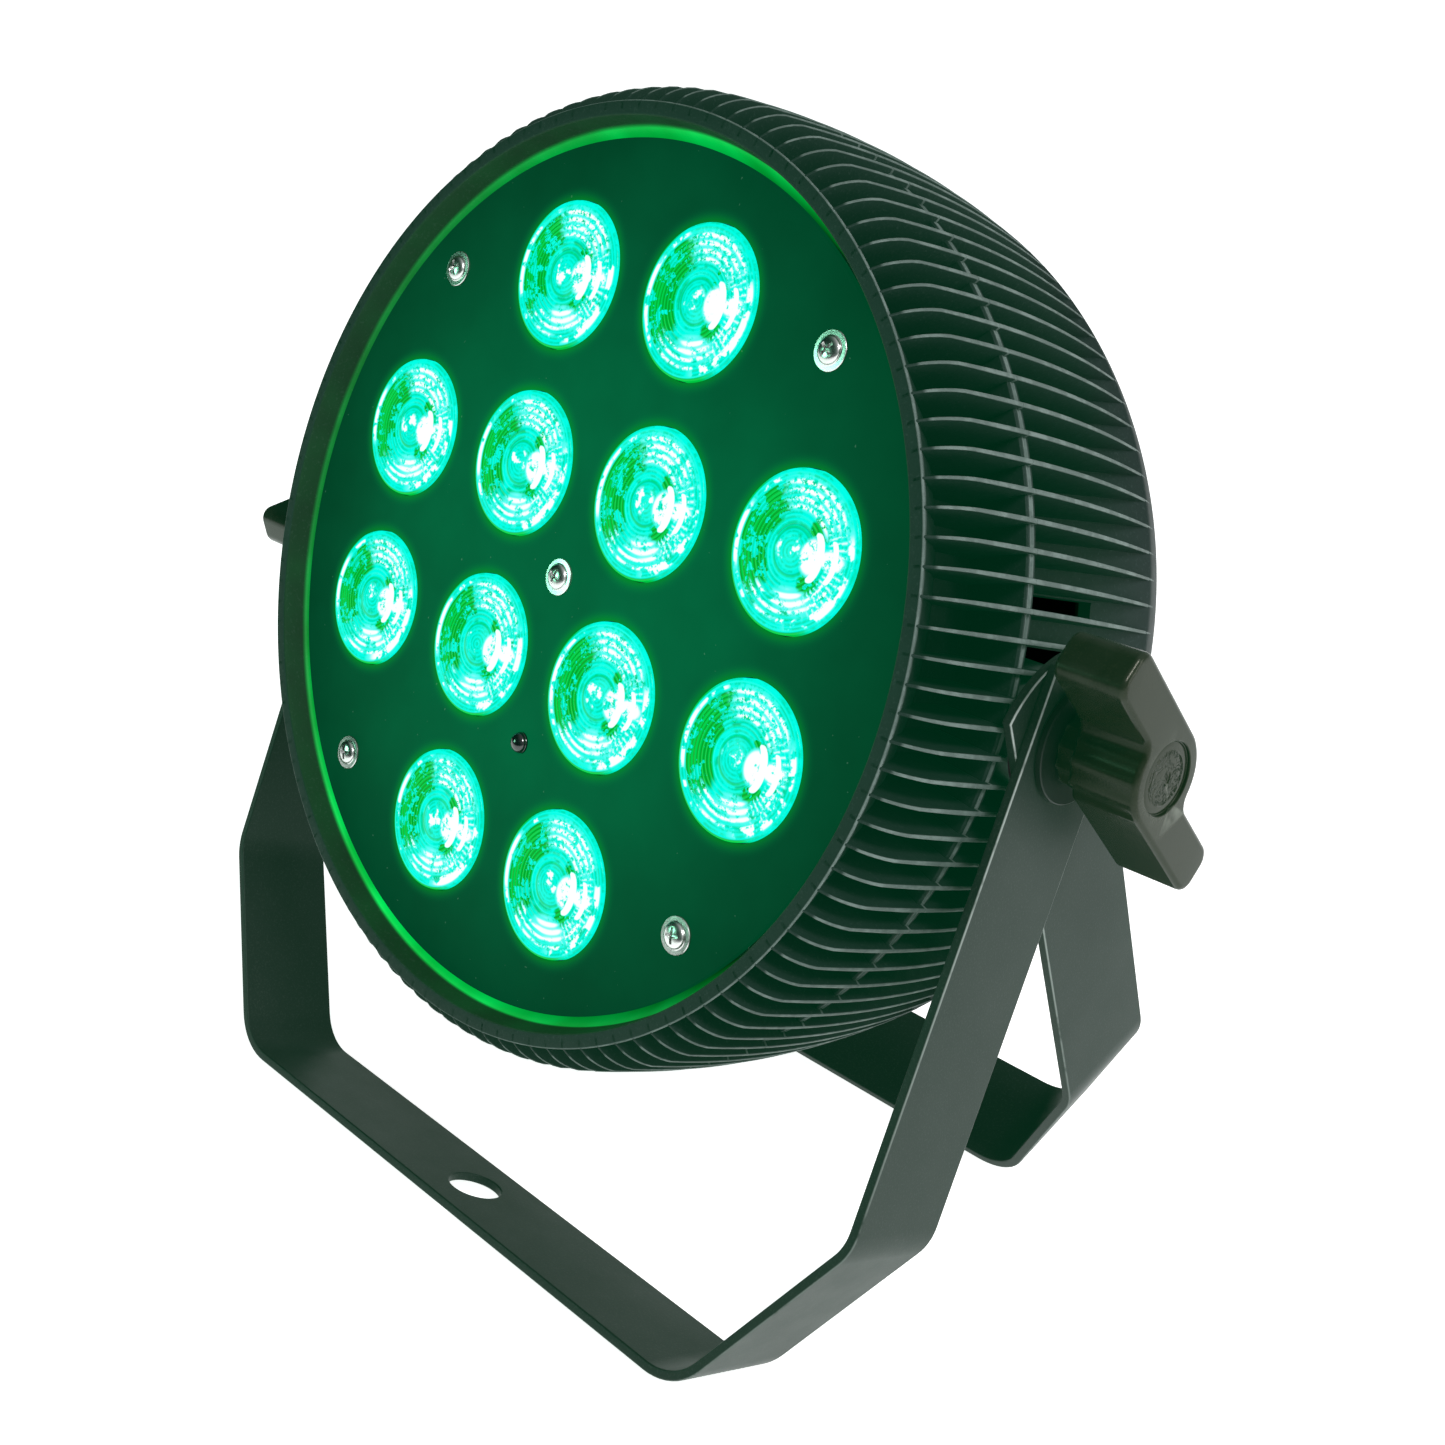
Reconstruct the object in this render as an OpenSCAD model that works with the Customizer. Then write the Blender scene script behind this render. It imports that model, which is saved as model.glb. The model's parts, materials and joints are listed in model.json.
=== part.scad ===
// LED par can light: a finned round head that tilts between two nested U brackets.
// Row frame: X to the right seen from the front, Y to the back, Z up, millimetres.
// The origin is on the floor, in the middle of the light's footprint.
// Head frame: x to the right, y down, z into the head, with z = 0 on the face plate's front.
// Bracket frame: x to the right, y down the arms from the pivot axis, z to the back.

/* [Head] */
// Diameter over the cooling fins at their widest
body_d = 200; // [198:0.5:204]
// Diameter over the front lip
lip_d = 186; // [184:0.5:188]
// How far the lip stands in front of the face plate
lip_h = 4.7; // [3:0.1:6]
// From the face plate's front to the joint between the two housing shells
seam_z = 19.5; // [19:0.1:20]
// From the face plate's front to the back rim of the housing
body_depth = 83; // [82:0.5:86]
// Number of cooling fins round each shell
fin_count = 120; // [60:60:120]
// Fin thickness at the ends of the housing
fin_tip_t = 0.5; // [0.4:0.1:0.8]
// Fin thickness at the joint between the shells
fin_seam_t = 1; // [0.8:0.1:1.2]
// How far the head faces up from level
head_tilt = 27; // [20:0.5:32]

/* [Optics] */
// Distance between neighbouring lenses
lens_pitch = 39; // [38:0.5:40]
// Diameter of a lens
lens_d = 30; // [28:0.5:31]
// Diameter of the face plate
plate_d = 175; // [174:0.5:176]
// Thickness of the face plate
plate_t = 1.5; // [1:0.1:2]
// Distance of a corner screw from the middle, along each side
face_screw_xy = 55; // [54:0.5:55]

/* [Brackets] */
// Width of the steel strip that both brackets are bent from
strip_w = 25; // [22:0.5:26]
// Thickness of that strip
strip_t = 2; // [1.5:0.1:2.2]
// Distance from the pivot axis to the outer face of the front bracket's cross bar
front_reach = 140; // [136:0.5:150]
// Distance from the pivot axis down to where the front bracket's arms start to slant in
front_arm = 97; // [90:0.5:100]
// Half the length of the front bracket's cross bar, to its corners
front_bar = 78; // [70:0.5:84]
// The same two sizes of the rear bracket
rear_arm = 85.5; // [80:0.5:88]
rear_bar = 81; // [72:0.5:84]
// Angle of the front bracket forward of upright
front_lean = 32.5; // [28:0.5:36]
// Angle of the rear bracket back from upright
rear_lean = 11; // [8:0.5:16]
// Diameter of the hole in the middle of each cross bar
bar_hole_d = 12; // [10:0.5:13]

/* [Knobs] */
// Length of a clamping knob over both wings
knob_span = 54; // [48:1:58]
// Length of a knob along its axis
knob_h = 18; // [16:0.5:20]
// Diameter of the clamping bolts
bolt_d = 8; // [6:1:8]
// Angle of each knob's wings back from upright
knob_right_turn = 33; // [-90:1:90]
knob_left_turn = -88; // [-90:1:90]

/* [Back panel] */
// Diameter of the back panel
panel_d = 160; // [158:0.5:161]
// Thickness of the back panel
panel_t = 1.5; // [1:0.1:2]

/* [Hidden] */
$fn = 96;
eps = 0.01;
fit = 0.05;
loose = 0.3;

// Housing outline, as radius and depth
body_r = body_d / 2;
lip_r = lip_d / 2;
barrel_r = 200;
barrel_z = 29;
nose_r = 17.5;
nose_c = [body_r - 18.6, 8];
shoulder_r = 40;
shoulder_c = [body_r - 41.4, 52.3];
floor_r = 86.5;
wall_r = 84.5;
lip_wall = 2.7;
front_floor_z = 8;
rear_floor_z = 62.5;
flange_t = 1.3;
flange_r = body_r - 1.4;
back_z = body_depth;
back_rim_r = 70;
back_rim_t = 2.5;

// Optics, as the place and size of each layer
grid = [-1.5, -0.5, 0.5, 1.5];
lens_spots = [for (y = grid, x = grid) if (abs(x) + abs(y) < 3) [x, y] * lens_pitch];
screw_spots = concat([[0, 0]], [for (x = [-1, 1], y = [-1, 1]) [x, y] * face_screw_xy]);
lens_cone_z = 14;
board_z = 18;
board_t = 1.6;
board_r = 82;
sink_z = board_z + board_t;
sink_t = 5;
sink_fin_h = 14;
fan_size = 60;
fan_z = sink_z + sink_t + sink_fin_h + 0.4;
fan_t = 15;
fan_hole_d = 57;
fan_hub_d = 26;
fan_bolt_xy = 25;
ir_spot = [0, 35];
ir_d = 4.5;
shell_post_r = 81.7;
shell_post_d = 7;
shell_post_angles = [25, 90, 155, 205, 270, 335];
ledge_r = 74.6;
ledge_z = sink_z + sink_t + 0.1;
ledge_t = 2;
sink_screw_r = 77.3;
sink_screw_angles = [50, 130, 230, 310];

// Pivot
pivot_depth = 31.5;
front_half = body_r + 5;
rear_half = front_half - strip_t - fit;
washer_t = 0.8;
boss_d = 25;
boss_x = rear_half - strip_t - fit - washer_t;
insert_d = 12;
insert_l = 12;
arm_end_r = 22;
arm_over = 16;
arm_bend = 10;
bar_bend = 13;
bend_steps = 8;
shank_d = bolt_d - 0.1;
hole_d = bolt_d + 0.1;
pivot_h = front_reach * cos(front_lean) + strip_w / 2 * sin(front_lean);
rear_reach = (pivot_h - strip_w / 2 * sin(rear_lean)) / cos(rear_lean);

// Knobs
knob_hub_d = 19;
knob_wing_w = 9.5;
knob_wing_h = 14;
knob_corner = 3;
knob_recess_d = 13.4;
knob_washer_d = 22;
knob_washer_t = 1.5;
knob_x = front_half + fit + knob_washer_t;

// Back panel fittings
panel_z = back_z;
panel_face = panel_z + panel_t;
panel_screw_r = 75;
display_y = -42;
display_w = 50;
display_h = 22;
button_y = -19;
button_d = 6;
button_pitch = 15;
button_out = 1.6;
button_xs = [for (i = [0:3]) (i - 1.5) * button_pitch];
xlr_spot = [42, 12];
xlr_w = 26;
xlr_h = 31;
xlr_screw = [9.5, 12];
latch_off = 10.1;
inlet_y = 43;
inlet_w = 46;
inlet_h = 31;
inlet_screw_x = 20;
drawer_y = inlet_y + 11;
eye_y = -66;
eye_w = 18;
eye_out = 14;
eye_hole_d = 8;

// The footprint runs from the front bracket's bar to the safety eye
foot_front = front_reach * sin(front_lean) + strip_w / 2 * cos(front_lean);
eye_depth = panel_face + eye_out + 1.6 - pivot_depth;
foot_back = -eye_y * sin(head_tilt) + eye_depth * cos(head_tilt) + 1 * sin(head_tilt);
pivot_y = (foot_front - foot_back) / 2;

// ---------- placing ----------

module swung(lean) {
    translate([0, pivot_y, pivot_h]) rotate([-90 - lean, 0, 0]) children();
}

module in_head() {
    swung(head_tilt) translate([0, 0, -pivot_depth]) children();
}

// Runs along +x from the pivot axis, for parts on the right; the left is turned half round
module on_axis(side) {
    rotate([0, side > 0 ? 90 : -90, 0]) children();
}

module ring(r_out, r_in, h) {
    difference() {
        cylinder(r = r_out, h = h);
        translate([0, 0, -eps]) cylinder(r = r_in, h = h + 2 * eps);
    }
}

module block(size, at) {
    translate([at[0] - size[0] / 2, at[1] - size[1] / 2, at[2]]) cube(size);
}

// A pan head screw with a cross recess, driven along +z, with its head's top at z = -head_h
module pan_screw(shank, length, head, head_h) {
    cylinder(d = shank, h = length);
    difference() {
        intersection() {
            translate([0, 0, -head_h]) cylinder(d = head, h = head_h);
            translate([0, 0, head - head_h]) sphere(d = 2 * head);
        }
        for (a = [0, 90]) rotate(a) block([head * 0.55, head * 0.14, head_h * 0.7], [0, 0, -head_h - eps]);
    }
}

// ---------- housing ----------

module outline() {
    intersection() {
        translate([body_r - barrel_r, barrel_z]) circle(r = barrel_r, $fn = 360);
        union() {
            translate(nose_c) circle(r = nose_r);
            translate([0, nose_c[1]]) square([body_r + 1, body_depth]);
            translate([0, -lip_h]) square([nose_c[0], nose_c[1] + lip_h]);
        }
        union() {
            translate(shoulder_c) circle(r = shoulder_r);
            translate([0, -lip_h]) square([body_r + 1, shoulder_c[1] + lip_h]);
            square([shoulder_c[0], body_depth]);
        }
        translate([0, -lip_h]) square([body_r + 1, body_depth + lip_h]);
    }
}

// Fins round the housing from z_thin to z_thick, thinner at the open end
module fin_ring(z_thin, z_thick) {
    for (i = [0:fin_count - 1]) rotate(i * 360 / fin_count)
        translate([wall_r + 1, 0, 0]) rotate([90, 0, 90]) linear_extrude(body_r - wall_r)
            polygon([[-fin_tip_t / 2, z_thin], [fin_tip_t / 2, z_thin],
                     [fin_seam_t / 2, z_thick], [-fin_seam_t / 2, z_thick]]);
}

module shell_posts(z0, z1, bore) {
    for (a = shell_post_angles) rotate(a) translate([shell_post_r, 0, z0]) difference() {
        cylinder(d = shell_post_d, h = z1 - z0);
        translate([0, 0, -eps]) cylinder(d = bore, h = z1 - z0 + 2 * eps);
    }
}

module front_shell() {
    color("#141816") in_head() {
        intersection() {
            fin_ring(-lip_h, seam_z);
            rotate_extrude() intersection() {
                outline();
                polygon([[lip_r - lip_wall / 2, -lip_h], [body_r + 1, -lip_h], [body_r + 1, seam_z],
                         [floor_r - 1, seam_z], [floor_r - 1, front_floor_z + 1], [lip_r - 3.1, 0.5]]);
            }
        }
        rotate_extrude() polygon([
            [lip_r - lip_wall, -lip_h], [lip_r, -lip_h], [floor_r, front_floor_z],
            [floor_r, seam_z - flange_t], [flange_r, seam_z - flange_t], [flange_r, seam_z],
            [wall_r, seam_z], [wall_r, front_floor_z + 1.5], [lip_r - lip_wall - 0.9, 0.5]]);
        shell_posts(front_floor_z + 2, seam_z - 0.1, 2.9);
    }
}

module rear_shell() {
    color("#141816") in_head() {
        difference() {
            intersection() {
                fin_ring(rear_floor_z + 3, seam_z);
                rotate_extrude() intersection() {
                    outline();
                    polygon([[floor_r - 1, seam_z], [body_r + 1, seam_z], [body_r + 1, rear_floor_z + 3],
                             [body_r - 4, rear_floor_z + 3], [body_r - 4, rear_floor_z - 1],
                             [floor_r - 1, seam_z + 3]]);
                }
            }
            at_pivots(wall_r) cylinder(d = insert_d + 3, h = body_r);
        }
        difference() {
            union() {
                rotate_extrude() intersection() {
                    outline();
                    polygon([[wall_r, seam_z], [flange_r, seam_z], [flange_r, seam_z + flange_t],
                             [floor_r, seam_z + flange_t], [body_r - 2.6, rear_floor_z],
                             [body_r + 1, rear_floor_z],
                             [body_r + 1, back_z], [back_rim_r, back_z], [back_rim_r, back_z - back_rim_t],
                             [wall_r - 3, back_z - back_rim_t], [body_r - 8, 68],
                             [body_r - 5.5, rear_floor_z - 2],
                             [wall_r, ledge_z + ledge_t], [ledge_r, ledge_z + ledge_t],
                             [ledge_r, ledge_z], [wall_r, ledge_z]]);
                }
                at_pivots(wall_r - 3) cylinder(d = boss_d - 2, h = boss_x - wall_r + 3);
                shell_posts(seam_z, seam_z + 10, 3.4);
            }
            at_pivots(wall_r - 4) cylinder(d = insert_d + 2 * fit, h = body_r);
            vents();
            for (a = sink_screw_angles) rotate(a) translate([sink_screw_r, 0, ledge_z - 1])
                cylinder(d = 3.1, h = ledge_t + 2);
            for (a = shell_post_angles) rotate(a) translate([shell_post_r, 0, ledge_z - 1])
                cylinder(d = 3.4, h = ledge_t + 2);
            for (a = [30:60:330]) rotate(a) translate([panel_screw_r, 0, back_z - back_rim_t - 1])
                cylinder(d = 2.6, h = back_rim_t + 2);
        }
    }
}

// Starts at the radius r on both sides of the pivot axis and runs outward
module at_pivots(r) {
    for (side = [0, 180]) rotate(side) translate([r, 0, pivot_depth]) rotate([0, 90, 0]) children();
}

// Long windows in the fin channels beside each pivot, and short slots round the back shoulder
module vents() {
    for (side = [0, 180], a = [-13.5, -7.5, 7.5, 13.5]) rotate(side + a)
        block([14, 3.2, 26], [wall_r + 2, 0, seam_z + 2.5]);
    for (a = [7.5:15:352.5]) rotate(a) translate([body_r - 12, 0, 75]) rotate([0, 50, 0])
        block([10, 3, 16], [0, 0, -8]);
}

// ---------- front of the head ----------

module face_plate() {
    color("#0b0f0d") in_head() difference() {
        cylinder(d = plate_d, h = plate_t);
        for (p = lens_spots) translate([p[0], p[1], -1]) cylinder(d = lens_d + 0.4, h = plate_t + 2);
        for (p = screw_spots) translate([p[0], p[1], -1]) cylinder(d = 3.4, h = plate_t + 2);
        translate([ir_spot[0], ir_spot[1], -1]) cylinder(d = ir_d + 0.3, h = plate_t + 2);
    }
}

// A moulded collimator: a flat front disc with a centre dimple behind it and a tapered body
module lens(i) {
    color("#30ffb0") in_head() translate([lens_spots[i - 1][0], lens_spots[i - 1][1], 0]) difference() {
        union() {
            translate([0, 0, -0.4]) cylinder(d = lens_d, h = 3);
            translate([0, 0, 2.6 - eps]) cylinder(d1 = lens_d - 2, d2 = 11, h = lens_cone_z - 2.6);
        }
        translate([0, 0, lens_cone_z - 4]) cylinder(d = 7, h = 5);
    }
}

module lens_holders() {
    color("#101010") in_head() for (p = lens_spots) translate([p[0], p[1], 0]) {
        translate([0, 0, plate_t]) ring(lens_d / 2 + 2.2, lens_d / 2 + 0.2, board_z - plate_t - 3);
        translate([0, 0, board_z - 3]) ring(lens_d / 2 + 2.2, 5.8, 1);
        for (a = [0, 120, 240]) rotate(a) translate([11, 0, board_z - 2]) cylinder(d = 3, h = 2);
    }
}

module led_emitters() {
    color("#e8e4c8") in_head() for (p = lens_spots) translate([p[0], p[1], 0]) {
        block([5.6, 5.6, 1.4], [0, 0, board_z - 1.4]);
        translate([0, 0, board_z - 1.4]) difference() {
            sphere(d = 5);
            translate([-3, -3, 0]) cube([6, 6, 3]);
        }
    }
}

module board_notches(z, h) {
    for (a = shell_post_angles) rotate(a) translate([shell_post_r, 0, z - 1])
        cylinder(d = shell_post_d + 1.2, h = h + 2);
}

module led_board() {
    color("#dfe5e0") in_head() difference() {
        translate([0, 0, board_z]) cylinder(r = board_r, h = board_t);
        board_notches(board_z, board_t);
        for (p = screw_spots) translate([p[0], p[1], board_z - 1]) cylinder(d = 3.4, h = board_t + 2);
    }
}

module ir_receiver() {
    color("#20242a") in_head() translate([ir_spot[0], ir_spot[1], 0]) {
        translate([0, 0, -0.3]) cylinder(d = ir_d - 0.1, h = board_z + 0.3 - 6);
        translate([0, 0, -0.3]) difference() {
            sphere(d = ir_d - 0.1);
            translate([-3, -3, 0]) cube([6, 6, 4]);
        }
        block([6, 6, 6], [0, 0, board_z - 6 - eps]);
    }
}

module face_screws() {
    color("#c9ccca") in_head() for (p = screw_spots) translate([p[0], p[1], 0]) pan_screw(3, 7, 7.6, 1.8);
}

module face_standoffs() {
    color("#b9985a") in_head() for (p = screw_spots) translate([p[0], p[1], plate_t]) {
        difference() {
            cylinder(d = 6, h = board_z - plate_t, $fn = 6);
            translate([0, 0, -eps]) cylinder(d = 3.2, h = 9);
        }
        translate([0, 0, board_z - plate_t - eps]) cylinder(d = 2.9, h = board_t + 4);
    }
}

// ---------- inside the head ----------

module heatsink() {
    color("#b6bab9") in_head() difference() {
        union() {
            translate([0, 0, sink_z]) cylinder(r = board_r - 2, h = sink_t);
            intersection() {
                translate([0, 0, sink_z + sink_t - eps]) cylinder(r = board_r - 8, h = sink_fin_h);
                for (x = [-72:6:72]) block([1.6, 160, sink_fin_h], [x, 0, sink_z + sink_t - eps]);
            }
        }
        board_notches(sink_z, sink_t + sink_fin_h);
        for (p = screw_spots) translate([p[0], p[1], sink_z - 1]) cylinder(d = 3, h = sink_t);
        for (x = [-1, 1], y = [-1, 1]) translate([x, y, 0] * fan_bolt_xy)
            translate([0, 0, sink_z + sink_t - 1]) cylinder(d = 3.2, h = sink_fin_h + 2);
        for (p = post_spots) translate([p[0], p[1], sink_z + sink_t]) cylinder(d = 7.4, h = sink_fin_h + 1);
        for (a = sink_screw_angles) rotate(a) translate([sink_screw_r, 0, sink_z + 1])
            cylinder(d = 2.9, h = sink_t);
    }
}

module fan_frame() {
    color("#161616") in_head() translate([0, 0, fan_z]) {
        difference() {
            block([fan_size, fan_size, fan_t], [0, 0, 0]);
            translate([0, 0, -1]) cylinder(d = fan_hole_d, h = fan_t + 2);
            for (x = [-1, 1], y = [-1, 1]) translate([x * fan_bolt_xy, y * fan_bolt_xy, -1])
                cylinder(d = 3.4, h = fan_t + 2);
        }
        difference() {
            union() {
                translate([0, 0, fan_t - 2]) cylinder(d = fan_hub_d, h = 2);
                for (a = [45:90:315]) rotate(a) block([18, 3, 2], [21, 0, fan_t - 2]);
            }
            translate([0, 0, fan_t - 3]) cylinder(d = 3.1, h = 4);
        }
    }
}

module fan_rotor() {
    color("#202020") in_head() translate([0, 0, fan_z + 1]) {
        cylinder(d = fan_hub_d, h = 10);
        cylinder(d = 3, h = fan_t - 1.5);
        intersection() {
            ring(fan_hole_d / 2 - 1, fan_hub_d / 2 - 1, 10);
            for (a = [0:51.43:359]) rotate(a) translate([fan_hub_d / 2 + 7, 0, 5]) rotate([38, 0, 0])
                cube([16, 1.4, 13], center = true);
        }
    }
}

module fan_screws() {
    color("#c9ccca") in_head() for (x = [-1, 1], y = [-1, 1])
        translate([x * fan_bolt_xy, y * fan_bolt_xy, fan_z + fan_t]) mirror([0, 0, 1])
            pan_screw(2.9, fan_t + 10, 5.5, 1.6);
}

module shell_screws() {
    color("#c9ccca") in_head() for (a = shell_post_angles)
        rotate(a) translate([shell_post_r, 0, seam_z + 10]) mirror([0, 0, 1]) pan_screw(2.8, 17, 5.5, 1.6);
}

post_spots = [[-40, -58], [40, -58], [-40, -34], [40, -34]];
power_board_z = 58;
control_z = panel_z - 9;
control_spots = [[-34, -53], [34, -53], [-34, -15], [34, -15]];

module power_board() {
    color("#2f6b3a") in_head() {
        difference() {
            block([96, 40, 1.6], [0, -48, power_board_z]);
            for (p = post_spots) translate([p[0], p[1], power_board_z - 1]) cylinder(d = 3.2, h = 4);
        }
        for (x = [-30, -14]) translate([x, -56, power_board_z + 1.6 - eps]) cylinder(d = 12, h = 13);
        block([22, 20, 14], [8, -48, power_board_z + 1.6 - eps]);
        block([8, 18, 11], [30, -50, power_board_z + 1.6 - eps]);
    }
}

module power_board_posts() {
    color("#b9985a") in_head() for (p = post_spots) translate([p[0], p[1], sink_z + sink_t]) difference() {
        cylinder(d = 6, h = power_board_z - sink_z - sink_t, $fn = 6);
        translate([0, 0, power_board_z - sink_z - sink_t - 9]) cylinder(d = 3, h = 10);
    }
}

// The board behind the display, with one small switch under each button
module control_board() {
    color("#2f6b3a") in_head() {
        difference() {
            block([76, 46, 1.6], [0, -34, control_z]);
            for (p = control_spots) translate([p[0], p[1], control_z - 1]) cylinder(d = 2.6, h = 4);
        }
        for (x = button_xs) block([6, 6, 3.8], [x, button_y, control_z + 1.6 - eps]);
    }
}

module board_screws() {
    color("#c9ccca") in_head() {
        for (p = control_spots) translate([p[0], p[1], control_z]) pan_screw(2.5, 7, 4.6, 1.3);
        for (p = post_spots) translate([p[0], p[1], power_board_z + 1.6]) mirror([0, 0, 1])
            pan_screw(2.9, 8, 5.5, 1.6);
    }
}

module heatsink_screws() {
    color("#c9ccca") in_head() for (a = sink_screw_angles)
        rotate(a) translate([sink_screw_r, 0, ledge_z + ledge_t]) mirror([0, 0, 1])
            pan_screw(2.8, 5.5, 5, 1.5);
}

// ---------- back panel ----------

module back_panel() {
    color("#121514") in_head() difference() {
        union() {
            translate([0, 0, panel_z]) cylinder(d = panel_d, h = panel_t);
            for (p = control_spots) translate([p[0], p[1], control_z + 1.6]) difference() {
                cylinder(d = 4.5, h = panel_z - control_z - 1.6 + eps);
                translate([0, 0, -1]) cylinder(d = 2.5, h = 6.8);
            }
        }
        block([display_w, display_h, 4], [0, display_y, panel_z - 1]);
        for (x = button_xs) translate([x, button_y, panel_z - 1]) cylinder(d = button_d + 2 * loose, h = 4);
        for (s = [-1, 1]) translate([s * xlr_spot[0], xlr_spot[1], panel_z - 1]) {
            cylinder(d = 24, h = 4);
            for (k = [-1, 1]) translate([k * xlr_screw[0], -k * xlr_screw[1], 0]) cylinder(d = 2.6, h = 4);
        }
        block([29, 28, 4], [0, inlet_y + 0.5, panel_z - 1]);
        for (s = [-1, 1]) translate([s * inlet_screw_x, inlet_y, panel_z - 1]) cylinder(d = 2.6, h = 4);
        for (a = [30:60:330]) rotate(a) translate([panel_screw_r, 0, panel_z - 1]) cylinder(d = 3.4, h = 4);
        for (s = [-1, 1]) translate([s * 5, eye_y, panel_z - 1]) cylinder(d = 3.2, h = 4);
        for (x = [-22:4:22]) block([2, 16, 4], [x, 6, panel_z - 1]);
    }
}

module panel_screws() {
    color("#c9ccca") in_head() for (a = [30:60:330])
        rotate(a) translate([panel_screw_r, 0, panel_face]) mirror([0, 0, 1]) pan_screw(2.5, 6, 5.5, 1.6);
}

module display_module() {
    color("#0c1a2c") in_head() block([display_w - 1, display_h - 1, 7], [0, display_y, panel_z - 7.3]);
}

module display_window() {
    color("#203a55") in_head() {
        block([display_w - 0.4, display_h - 0.4, panel_t + 0.3], [0, display_y, panel_z]);
        block([display_w + 4, display_h + 4, 0.5], [0, display_y, panel_face]);
    }
}

// A push button cap with its collar behind the panel
module button(i) {
    color("#d9dcda") in_head() translate([button_xs[i], button_y, panel_z]) {
        translate([0, 0, -3]) cylinder(d = button_d, h = 3 + panel_t + button_out);
        translate([0, 0, -3]) cylinder(d = button_d + 2, h = 1);
    }
}

// A recessed mains inlet with three blades and a fuse drawer under it
module power_inlet() {
    color("#17181a") in_head() {
        difference() {
            union() {
                block([inlet_w, inlet_h, 2.5], [0, inlet_y + 0.5, panel_face]);
                block([28, 27, 24], [0, inlet_y + 0.5, panel_face - 24]);
            }
            block([24, 16.5, 17], [0, inlet_y - 4, panel_face + 2.5 - 16]);
            block([22.6, 7.6, 20], [0, drawer_y, panel_face + 2.5 - 18]);
            for (s = [-1, 1]) translate([s * inlet_screw_x, inlet_y, panel_face - 1])
                cylinder(d = 3.2, h = 5);
        }
        for (p = [[-7, 0], [7, 0], [0, -3.5]])
            block([2, 4, 12], [p[0], inlet_y - 3 + p[1], panel_face - 14]);
    }
}

module fuse_drawer() {
    color("#202224") in_head() difference() {
        union() {
            block([22, 7, 17.5], [0, drawer_y, panel_face + 2.5 - 17.7]);
            block([14, 1.2, 1.5], [0, drawer_y, panel_face + 2.2]);
        }
        block([20.6, 5.8, 14], [0, drawer_y, panel_face + 2.5 - 17.8]);
    }
}

module fuse() {
    color("#d8d8cc") in_head() translate([-9.9, drawer_y, panel_face - 9]) rotate([0, 90, 0])
        cylinder(d = 5, h = 19.8);
}

// A round audio style socket: a flange with two screws and a barrel through the panel
module xlr_shell(at) {
    difference() {
        union() {
            block([xlr_w, xlr_h, 2], [at[0], at[1], panel_face]);
            translate([at[0], at[1], panel_face - 20]) cylinder(d = 23.6, h = 20);
        }
        for (k = [-1, 1]) translate([at[0] + k * xlr_screw[0], at[1] - k * xlr_screw[1], panel_face - 1])
            cylinder(d = 3.2, h = 5);
        children();
    }
}

module dmx_in() {
    at = [-xlr_spot[0], xlr_spot[1]];
    color("#1d1f20") in_head() {
        xlr_shell(at) translate([at[0], at[1], panel_face + 2 - 14]) cylinder(d = 16, h = 15);
        for (a = [30, 150, 270]) translate([at[0], at[1], panel_face - 13]) rotate(a) translate([3.6, 0, 0])
            cylinder(d = 2.4, h = 11.5);
    }
}

module dmx_out() {
    at = xlr_spot;
    color("#1d1f20") in_head() {
        xlr_shell(at) {
            translate([at[0], at[1], panel_face + 2 - 14]) ring(9.4, 7.4, 15);
            block([7.2, 2.8, 18], [at[0], at[1] - latch_off, panel_face + 2 - 15.5]);
            for (a = [30, 150, 270]) translate([at[0], at[1], panel_face + 2 - 13]) rotate(a)
                translate([3.6, 0, 0]) cylinder(d = 2.6, h = 14);
        }
    }
}

module dmx_out_latch() {
    color("#8f9492") in_head()
        block([6.6, 2.2, 15.5], [xlr_spot[0], xlr_spot[1] - latch_off, panel_face + 2 - 13]);
}

module socket_screws() {
    color("#c9ccca") in_head() {
        for (s = [-1, 1], k = [-1, 1])
            translate([s * xlr_spot[0] + k * xlr_screw[0], xlr_spot[1] - k * xlr_screw[1], panel_face + 2])
                mirror([0, 0, 1]) pan_screw(2.5, 7, 5, 1.4);
        for (s = [-1, 1]) translate([s * inlet_screw_x, inlet_y, panel_face + 2.5])
            mirror([0, 0, 1]) pan_screw(2.5, 8, 5, 1.4);
    }
}

// The tab that a safety wire goes through, riveted to the back panel
module safety_eye() {
    color("#9a9e9c") in_head() translate([0, eye_y, panel_face]) difference() {
        union() {
            block([eye_w, 8, 1.6], [0, 0, 0]);
            translate([0, 1, 0]) rotate([90, 0, 0]) intersection() {
                translate([-eye_w / 2, 0, 0]) cube([eye_w, eye_out + 1.6, 2]);
                union() {
                    translate([-eye_w / 2, 0, 0]) cube([eye_w, eye_out - eye_w / 2 + 1.6, 2]);
                    translate([0, eye_out - eye_w / 2 + 1.6, 0]) cylinder(d = eye_w, h = 2);
                }
            }
            for (s = [-1, 1]) translate([s * 5, 0, -3]) cylinder(d = 3, h = 3 + eps);
        }
        translate([0, 2, eye_out - eye_w / 2 + 1.6]) rotate([90, 0, 0]) cylinder(d = eye_hole_d, h = 4);
    }
}

// ---------- pivot ----------

module pivot_inserts() {
    color("#b9985a") swung(head_tilt) for (side = [-1, 1]) on_axis(side)
        translate([0, 0, boss_x - insert_l]) ring(insert_d / 2, hole_d / 2, insert_l);
}

module friction_washers() {
    color("#2a2a2a") swung(head_tilt) for (side = [-1, 1]) on_axis(side)
        translate([0, 0, boss_x]) ring(boss_d / 2 - 0.5, hole_d / 2, washer_t);
}

// An arc of points about c, from the heading a0 over turn degrees
function arc(c, r, a0, turn) =
    [for (i = [0:bend_steps]) let (a = a0 + turn * i / bend_steps) c + r * [cos(a), sin(a)]];

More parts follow.
